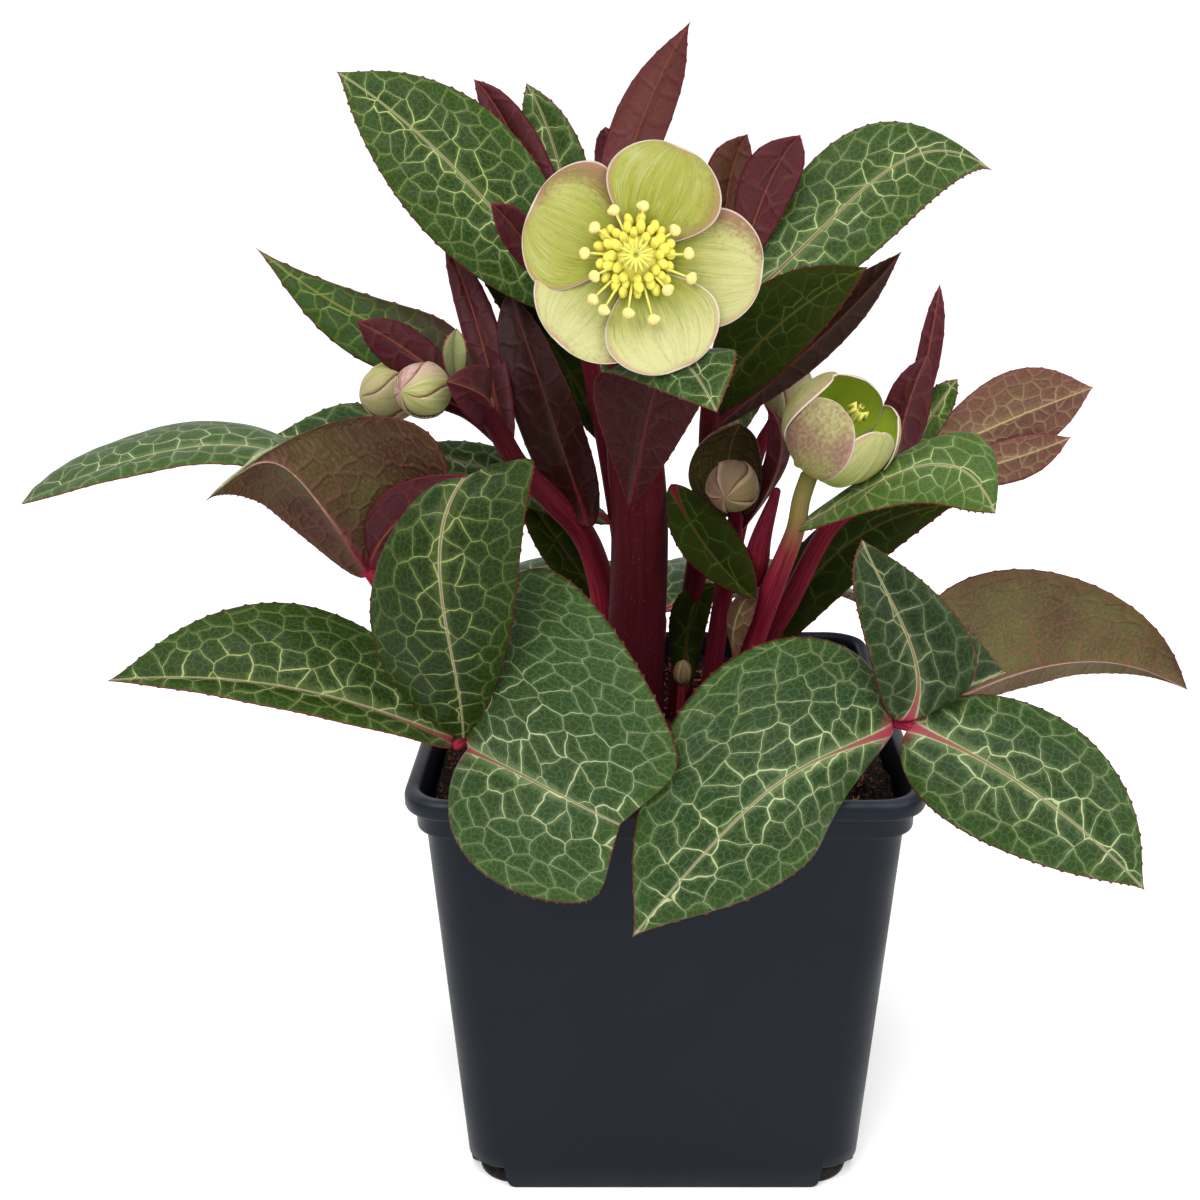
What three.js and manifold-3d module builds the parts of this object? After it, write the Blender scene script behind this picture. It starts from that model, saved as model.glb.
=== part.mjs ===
// A hellebore in bloom in a square nursery pot, in millimetres, with +Z up.
// The origin is the middle of the pot's base, on the surface that the pot stands on.
// The plant is a clump: basal leaves on long stalks, leafy flower stems, one open flower,
// one half-open flower and five buds. Every blade is a thin curved sheet along its own midrib.
import * as THREE from 'three';
import Module from 'manifold-3d';

const wasm = await Module();
wasm.setup();
const { Manifold, Mesh: SolidMesh } = wasm;

// Driving dimensions.
const GAP = 0.35;
const RIM_HALF = 71.8;
const POT_HEIGHT = 133;
const LIP_DEPTH = 5.5;
const BAND_HALF = 68.8;
const BAND_DEPTH = 12;
const BODY_TOP_HALF = 67.5;
const BODY_BASE_HALF = 58.6;
const POT_WALL = 1.8;
const POT_CORNER = 11;
const PLINTH_HALF = 56.2;
const PLINTH_HEIGHT = 9;
const FLOOR_THICKNESS = 2.6;
const CORNER_LIFT = 7;
const CORNER_CUT_WIDTH = 26;
const CORNER_CUT_DEPTH = 12;
const DRAIN_INSET = 6;
const DRAIN_WIDTH = 13;
const DRAIN_HEIGHT = 4;
const RIM_ROUND = 1;
const SOIL_TOP = 122;
const SOIL_BUMP = 1.1;
const STEM_FOOT = 104;
const BLADE_THICKNESS = 0.9;
const SOIL_CELLS = 8;
const BUD_RINGS = 6;
const BUD_SIDES = 10;
const BUD_RIDGE = 0.035;
const FLOWER_RADIUS = 29;
const FLOWER_PLACE = [-8, -50, 274];
const FLOWER_FACING = [0, -0.97, 0.2];
const CUP_PLACE = [41, -28, 217];
const CUP_FACING = [0.5, -0.42, 0.72];
const DISC_RADIUS = 7;
const DISC_TOP = 3.2;
const GOLDEN_TURN = 2.4;
const STAMENS = 15;
const NECTARIES = 8;
const FINE = 0.08;
const BLADE_END = 0.035;

// Colours and finishes.
const FINISH = {
  pot: { color: 0x3a3f45, roughness: 0.55, metalness: 0 },
  soil: { color: 0x2a1d16, roughness: 1, metalness: 0 },
  leaf: { color: 0x3f6b35, roughness: 0.5, metalness: 0 },
  shade: { color: 0x24401f, roughness: 0.6, metalness: 0 },
  maroon: { color: 0x5a2a2e, roughness: 0.55, metalness: 0 },
  stem: { color: 0x4f1a26, roughness: 0.45, metalness: 0 },
  pink: { color: 0x9c3150, roughness: 0.45, metalness: 0 },
  lime: { color: 0xb8c45a, roughness: 0.5, metalness: 0 },
  yellow: { color: 0xe2d873, roughness: 0.5, metalness: 0 },
  bud: { color: 0xb39a84, roughness: 0.5, metalness: 0 },
};

const mix = THREE.MathUtils.lerp;
const vec = (p) => new THREE.Vector3(p[0], p[1], p[2]);

// Closed solid from a list of points and a list of triangles that face outwards.
function solidFrom(points, triangles) {
  return new Manifold(new SolidMesh({
    numProp: 3,
    vertProperties: new Float32Array(points.flatMap((p) => [p.x, p.y, p.z])),
    triVerts: new Uint32Array(triangles.flat()),
  }));
}

// Largest body of a solid, without the slivers that a cut leaves.
function mainBody(solid) {
  const bodies = solid.decompose();
  return bodies.reduce((best, body) => (body.volume() > best.volume() ? body : best)).simplify(FINE);
}

// Closed stack of rings with equal numbers of points, from first to last, capped by fans.
function ringStack(rings) {
  const sides = rings[0].length;
  const points = rings.flat();
  const triangles = [];
  for (let r = 0; r < rings.length - 1; r += 1) {
    for (let s = 0; s < sides; s += 1) {
      const a = r * sides + s;
      const b = r * sides + ((s + 1) % sides);
      triangles.push([a, b, b + sides], [a, b + sides, a + sides]);
    }
  }
  const centre = (ring) => ring.reduce((sum, p) => sum.add(p), new THREE.Vector3()).divideScalar(sides);
  const first = points.push(centre(rings[0])) - 1;
  const last = points.push(centre(rings[rings.length - 1])) - 1;
  const top = (rings.length - 1) * sides;
  for (let s = 0; s < sides; s += 1) {
    const next = (s + 1) % sides;
    triangles.push([first, next, s], [last, top + s, top + next]);
  }
  return solidFrom(points, triangles);
}

// Pot and soil: stacked square rings with round corners.

function squareRing(half, corner, z, cornerSteps = 3) {
  const ring = [];
  const reach = half - corner;
  for (let quarter = 0; quarter < 4; quarter += 1) {
    const centre = new THREE.Vector3(reach, reach, z);
    for (let step = 0; step <= cornerSteps; step += 1) {
      const turn = (step / cornerSteps) * (Math.PI / 2);
      const p = centre.clone().add(new THREE.Vector3(corner * Math.cos(turn), corner * Math.sin(turn), 0));
      ring.push(p.applyAxisAngle(new THREE.Vector3(0, 0, 1), (quarter * Math.PI) / 2));
    }
  }
  return ring;
}

function bodyHalf(z) {
  return mix(BODY_BASE_HALF, BODY_TOP_HALF, z / POT_HEIGHT);
}

function makePot() {
  const lipBase = POT_HEIGHT - LIP_DEPTH;
  const bandBase = POT_HEIGHT - BAND_DEPTH;
  const shell = ringStack([
    squareRing(bodyHalf(0), POT_CORNER, 0),
    squareRing(bodyHalf(bandBase), POT_CORNER, bandBase),
    squareRing(BAND_HALF, POT_CORNER, bandBase),
    squareRing(BAND_HALF, POT_CORNER, lipBase),
    squareRing(RIM_HALF, POT_CORNER + 2, lipBase),
    squareRing(RIM_HALF, POT_CORNER + 2, POT_HEIGHT - RIM_ROUND),
    squareRing(RIM_HALF - RIM_ROUND, POT_CORNER + 1, POT_HEIGHT),
  ]);
  const inside = (z) => squareRing(bodyHalf(z) - POT_WALL, POT_CORNER - POT_WALL, z);
  const hollow = ringStack([inside(PLINTH_HEIGHT), inside(POT_HEIGHT + 1)]);
  const recess = ringStack([inside(-1), inside(PLINTH_HEIGHT - POT_WALL)]);
  const plinth = ringStack([
    squareRing(PLINTH_HALF, POT_CORNER, 0),
    squareRing(PLINTH_HALF, POT_CORNER, PLINTH_HEIGHT),
  ]);
  const well = ringStack([
    squareRing(PLINTH_HALF - POT_WALL, POT_CORNER - POT_WALL, FLOOR_THICKNESS),
    squareRing(PLINTH_HALF - POT_WALL, POT_CORNER - POT_WALL, PLINTH_HEIGHT + 1),
  ]);
  const plinthReach = (PLINTH_HALF - POT_CORNER) * Math.SQRT2 + POT_CORNER;
  const skirtCuts = cornerBlocks(plinthReach + GAP, CORNER_CUT_WIDTH, -1, CORNER_LIFT);
  const drains = cornerBlocks(plinthReach - DRAIN_INSET, DRAIN_WIDTH, FLOOR_THICKNESS,
    FLOOR_THICKNESS + DRAIN_HEIGHT);
  return shell.subtract(hollow).subtract(recess.subtract(plinth)).subtract(skirtCuts)
    .add(plinth).subtract(well).subtract(drains);
}

// One block across each corner of the pot, from a distance out along the diagonal.
function cornerBlocks(distance, width, low, high) {
  const blocks = [0, 1, 2, 3].map((quarter) => {
    const box = new THREE.BoxGeometry(CORNER_CUT_DEPTH, width, high - low);
    box.translate(distance + CORNER_CUT_DEPTH / 2, 0, (high + low) / 2);
    box.rotateZ(Math.PI / 4 + (quarter * Math.PI) / 2);
    return solidOf(box);
  });
  return Manifold.union(blocks);
}

// A three.js box, whose corners are still split by face, as a solid.
function solidOf(geometry) {
  const place = geometry.getAttribute('position');
  const index = geometry.getIndex();
  const points = [];
  const seen = new Map();
  const shared = [];
  for (let i = 0; i < place.count; i += 1) {
    const p = new THREE.Vector3().fromBufferAttribute(place, i);
    const key = p.toArray().map((value) => value.toFixed(4)).join(' ');
    if (!seen.has(key)) {
      seen.set(key, points.push(p) - 1);
    }
    shared.push(seen.get(key));
  }
  const triangles = [];
  for (let i = 0; i < index.count; i += 3) {
    triangles.push([0, 1, 2].map((corner) => shared[index.getX(i + corner)]));
  }
  return solidFrom(points, triangles);
}

// Height of the compost: low waves that never reach the rim.
function soilHeight(x, y) {
  const coarse = Math.sin(x * 0.21 + 1.3) * Math.cos(y * 0.17 - 0.6);
  const fine = Math.sin(x * 0.53 + y * 0.41) * 0.6;
  return SOIL_TOP + SOIL_BUMP * (coarse + fine);
}

function makeSoil() {
  const clear = POT_WALL + GAP;
  const corner = POT_CORNER - clear;
  const above = SOIL_TOP + 8;
  const body = ringStack([
    squareRing(PLINTH_HALF - clear, corner, FLOOR_THICKNESS + GAP),
    squareRing(PLINTH_HALF - clear, corner, PLINTH_HEIGHT + GAP),
    squareRing(bodyHalf(PLINTH_HEIGHT) - clear, corner, PLINTH_HEIGHT + GAP),
    squareRing(bodyHalf(above) - clear, corner, above),
  ]);
  const span = BODY_TOP_HALF + 4;
  const rows = Array.from({ length: SOIL_CELLS + 1 }, (_, i) => mix(-span, span, i / SOIL_CELLS));
  const sky = ringStack(rows.map((x) => [
    ...rows.map((y) => new THREE.Vector3(x, y, soilHeight(x, y))),
    new THREE.Vector3(x, span, above + 8),
    new THREE.Vector3(x, -span, above + 8),
  ]));
  return body.subtract(sky);
}

// Stems and stalks: round tubes along smooth curves, whose radius runs through the given ones.
// Each is made a second time with some spare all round, to cut what passes close to it.
function tube(path, radii, spare = 0, sides = 6, steps = (path.length - 1) * 2) {
  const curve = new THREE.CatmullRomCurve3(path.map(vec));
  const frames = curve.computeFrenetFrames(steps, false);
  const rings = [];
  for (let i = 0; i <= steps; i += 1) {
    const place = (i / steps) * (radii.length - 1);
    const low = Math.min(Math.floor(place), radii.length - 2);
    const radius = mix(radii[low], radii[low + 1], place - low) + spare;
    const overrun = { [0]: -spare, [steps]: spare }[i] ?? 0;
    const centre = curve.getPointAt(i / steps).addScaledVector(frames.tangents[i], overrun);
    rings.push(Array.from({ length: sides }, (_, side) => {
      const turn = (side / sides) * Math.PI * 2;
      return centre.clone()
        .addScaledVector(frames.normals[i], radius * Math.cos(turn))
        .addScaledVector(frames.binormals[i], radius * Math.sin(turn));
    }));
  }
  return ringStack(rings);
}

// Blades: a rib of three or four points, and the way from the rib to the left and to the right
// edge, first near the base and then near the tip. The width follows a skewed sine along the
// rib, each half bulges upwards by a share of its width, and teeth notch the edge.

function ribPoint(rib, u) {
  const last = rib.length - 1;
  const point = new THREE.Vector3();
  rib.forEach((p, i) => {
    let weight = 1;
    for (let j = 0; j <= last; j += 1) {
      weight *= j === i ? 1 : (u * last - j) / (i - j);
    }
    point.addScaledVector(vec(p), weight);
  });
  return point;
}

function widthShare(u, { widest, full }) {
  const skew = Math.log(0.5) / Math.log(widest);
  const arch = Math.max(Math.sin(Math.PI * u ** skew), 0) ** mix(full[0], full[1], u);
  return Math.max(arch, BLADE_END);
}

// Point of a blade's middle sheet and the upward direction there, for u from base to tip and
// v from -1 at the left edge over 0 at the rib to 1 at the right edge.
function bladeAt({ rib, left, right, bulge, ...form }, u, v) {
  const along = ribPoint(rib, u + 0.01).sub(ribPoint(rib, u - 0.01));
  const toLeft = vec(left[0]).lerp(vec(left[1]), u);
  const toRight = vec(right[0]).lerp(vec(right[1]), u);
  const leftUp = along.clone().cross(toLeft).normalize();
  const rightUp = toRight.clone().cross(along).normalize();
  const upward = leftUp.lerp(rightUp, (v + 1) / 2).normalize();
  const way = v < 0 ? toLeft : toRight;
  const reach = Math.abs(v);
  const share = widthShare(u, form);
  const point = ribPoint(rib, u)
    .addScaledVector(way, reach * share)
    .addScaledVector(upward, bulge * 4 * reach * (1 - reach) * way.length() * share);
  return { point, upward, along: along.normalize(), outward: way.normalize() };
}

function bladeSolid(blade, spare = 0) {
  const { rows, cols, teeth } = blade;
  const half = BLADE_THICKNESS / 2 + spare;
  const upper = [];
  const lower = [];
  for (let i = 0; i <= rows; i += 1) {
    const notch = teeth * (i % 2 ? 1 : -1) * Math.sin((Math.PI * i) / rows);
    const overrun = { [0]: -spare, [rows]: spare }[i] ?? 0;
    for (let j = 0; j <= cols; j += 1) {
      const v = mix(-1, 1, j / cols);
      const { point, upward, along, outward } = bladeAt(blade, i / rows, v);
      point.addScaledVector(along, overrun);
      if (Math.abs(v) === 1) {
        point.addScaledVector(outward, spare + notch);
      }
      upper.push(point.clone().addScaledVector(upward, half));
      lower.push(point.clone().addScaledVector(upward, -half));
    }
  }
  const below = upper.length;
  const triangles = [];
  const quad = (a, b, c, d) => triangles.push([a, b, c], [a, c, d]);
  for (let i = 0; i < rows; i += 1) {
    for (let j = 0; j < cols; j += 1) {
      const a = i * (cols + 1) + j;
      const d = a + cols + 1;
      quad(a, a + 1, d + 1, d);
      triangles.push([a + below, d + 1 + below, a + 1 + below], [a + below, d + below, d + 1 + below]);
    }
    const left = i * (cols + 1);
    const right = left + cols;
    quad(left, left + cols + 1, left + cols + 1 + below, left + below);
    quad(right + cols + 1, right, right + below, right + cols + 1 + below);
  }
  for (let j = 0; j < cols; j += 1) {
    const tip = rows * (cols + 1) + j;
    quad(j + 1, j, j + below, j + 1 + below);
    quad(tip, tip + 1, tip + 1 + below, tip + below);
  }
  return solidFrom([...upper, ...lower], triangles);
}

const BIG = { rows: 10, cols: 4, teeth: 0.4 };
const MIDDLE = { rows: 7, cols: 4, teeth: 0.2 };
const SMALL = { rows: 6, cols: 2, teeth: 0 };
const BLADE_FORM = { widest: 0.45, full: [0.7, 0.8], bulge: 0.08 };

// A blade, as a function of the spare that it is made with.
function blade(size, rib, left, right, form = {}) {
  const shape = { ...BLADE_FORM, ...size, rib, left, right, ...form };
  return (spare) => bladeSolid(shape, spare);
}

// A stem or stalk, as a function of the spare that it is made with.
const stalk = (path, radii, sides) => (spare) => tube(path, radii, spare, sides);

// Several solids that grew as one piece.
const grown = (...pieces) => (spare) => Manifold.union(pieces.map((piece) => piece(spare)));

// Buds: a ball drawn out along its axis, whose five closed sepals stand out as soft ridges.
function budSolid(radius, length, spare) {
  const rings = [];
  for (let i = 0; i <= BUD_RINGS; i += 1) {
    const polar = mix(0.12, Math.PI - 0.1, i / BUD_RINGS);
    const z = (-Math.cos(polar) * (length + spare * 2)) / 2;
    rings.push(Array.from({ length: BUD_SIDES }, (_, side) => {
      const turn = (side / BUD_SIDES) * Math.PI * 2;
      const ridge = 1 + BUD_RIDGE * Math.cos(5 * turn + i * 0.3);
      const r = (radius + spare) * Math.sin(polar) * ridge;
      return new THREE.Vector3(r * Math.cos(turn), r * Math.sin(turn), z);
    }));
  }
  return ringStack(rings);
}

// Flowers face +Z where they are worked out. A sepal is a blade at a direction round the flower,
// along a profile of distances from the axis and heights, with its edges bent inwards.
function sepal(direction, profile, half, inward, form = {}) {
  const turn = THREE.MathUtils.degToRad(direction);
  const place = (out, around, z) => [
    out * Math.cos(turn) - around * Math.sin(turn),
    out * Math.sin(turn) + around * Math.cos(turn),
    z,
  ];
  const left = place(-inward, half, 1);
  const right = place(-inward, -half, 1);
  return blade({ rows: 5, cols: 4, teeth: 0 }, profile.map(([out, z]) => place(out, 0, z)),
    [left, left], [right, right], { widest: 0.6, full: [0.75, 0.5], bulge: -0.04, ...form });
}

const openSepal = (direction, length, half, level) => sepal(direction,
  [[2, level], [length * 0.52, level + 0.6], [length, level + 3]], half, 0);

const flowerSepals = grown(
  openSepal(67, FLOWER_RADIUS, 15, 2.6),
  openSepal(154, FLOWER_RADIUS, 17, 1.3),
  openSepal(228, FLOWER_RADIUS, 16, 0),
  openSepal(291, FLOWER_RADIUS + 1, 15, 2),
  openSepal(353, FLOWER_RADIUS + 3, 15, 0.7),
  stalk([[0, 0, -2.5], [0, 0, 0.5], [0, 0, DISC_TOP]], [2.6, DISC_RADIUS, DISC_RADIUS], 10),
);

const CUP_PROFILE = [[2, 0], [12.5, 5], [14.5, 15], [10.5, 24]];
const cupSepal = (direction, swell, half) => sepal(direction,
  CUP_PROFILE.map(([out, z]) => [out + swell, z]), half, 3.5,
  { widest: 0.55, full: [0.7, 0.6], bulge: -0.12 });

const halfFlowerSepals = grown(
  cupSepal(15, 0.6, 11),
  cupSepal(88, 0, 11),
  cupSepal(160, 0.6, 11),
  cupSepal(232, 0, 11),
  cupSepal(304, -0.6, 11),
  stalk([[0, 0, -3], [0, 0, 3]], [2.2, 4.6], 8),
);

// A round grain with few faces, on a middle and a radius.
function bead(middle, radius, spare = 0) {
  const r = radius + spare;
  const rings = [-0.75, 0, 0.75].map((height, level) => Array.from({ length: 4 }, (_, side) => {
    const turn = (side / 4) * Math.PI * 2;
    const wide = level === 1 ? r * 1.1 : r * 0.6;
    return new THREE.Vector3(wide * Math.cos(turn), wide * Math.sin(turn), r * height).add(vec(middle));
  }));
  return ringStack(rings);
}

// The core that carries the ring of nectaries and the stamens, which lean outwards.
function flowerStamens(spare) {
  const base = DISC_TOP + GAP;
  const pieces = [tube([[0, 0, base], [0, 0, base + 2]], [DISC_RADIUS, DISC_RADIUS - 0.8], spare, 12, 1)];
  for (let i = 0; i < STAMENS; i += 1) {
    const turn = i * GOLDEN_TURN;
    const reach = 7.4 + 4.6 * ((i * 0.618) % 1);
    const lift = base + 3.2 + 1.6 * ((i * 0.382) % 1);
    const at = (r, z) => [r * Math.cos(turn), r * Math.sin(turn), z];
    pieces.push(tube([at(4.8, base + 1), at(reach, lift)], [0.6, 0.5], spare, 3, 1));
    pieces.push(bead(at(reach, lift), 1.25, spare));
  }
  for (let i = 0; i < NECTARIES; i += 1) {
    const turn = (i / NECTARIES) * Math.PI * 2;
    pieces.push(bead([6.2 * Math.cos(turn), 6.2 * Math.sin(turn), base + 2], 1.4, spare));
  }
  return Manifold.union(pieces);
}

// The seed vessels in the middle, whose beaks spread like a small star.
function flowerStyles(spare, base = DISC_TOP + 2 + 2 * GAP, count = 7) {
  const pieces = [tube([[0, 0, base], [0, 0, base + 1.6]], [3.2, 2.4], spare, 8, 1)];
  for (let i = 0; i < count; i += 1) {
    const turn = (i / count) * Math.PI * 2;
    const at = (r, z) => [r * Math.cos(turn), r * Math.sin(turn), z];
    pieces.push(tube([at(1.2, base + 1), at(1.9, base + 3.2), at(4.2, base + 3.6)], [0.9, 0.5],
      spare, 4, 2));
  }
  return Manifold.union(pieces);
}

// Turns +Z towards a direction, at a place.
function aimed(place, facing) {
  const turn = new THREE.Quaternion().setFromUnitVectors(new THREE.Vector3(0, 0, 1), vec(facing).normalize());
  return new THREE.Matrix4().compose(vec(place), turn, new THREE.Vector3(1, 1, 1));
}

const bud = (radius, length) => (spare) => budSolid(radius, length, spare);

// Heads: what the stems carry, each at its own place and facing its own way.
const heads = [
  ['flower_sepals', 'lime', flowerSepals, FLOWER_PLACE, FLOWER_FACING],
  ['flower_stamens', 'yellow', flowerStamens, FLOWER_PLACE, FLOWER_FACING],
  ['flower_styles', 'lime', flowerStyles, FLOWER_PLACE, FLOWER_FACING],
  ['half_flower_sepals', 'lime', halfFlowerSepals, CUP_PLACE, CUP_FACING],
  ['half_flower_styles', 'yellow', (spare) => flowerStyles(spare, 3 + GAP, 5), CUP_PLACE, CUP_FACING],
  ['bud_left_front', 'bud', bud(7, 14.5), [-66, -30, 237], [-0.62, -0.75, 0.1]],
  ['bud_left_rear', 'bud', bud(8.3, 17), [-77, -17, 234], [-0.8, -0.3, -0.1]],
  ['bud_rear', 'bud', bud(7.6, 18), [38, 20, 228], [0.3, 0.2, 0.9]],
  ['bud_hood', 'bud', bud(7.4, 15), [19, -25, 209], [-0.3, -0.85, -0.2]],
  ['bud_crown', 'bud', grown(bud(2.8, 8), stalk([[0, 0, -40], [0, 0, -3]], [1.4, 1.2])),
    [6, -6, 146], [0.05, -0.1, 1]],
];

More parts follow.
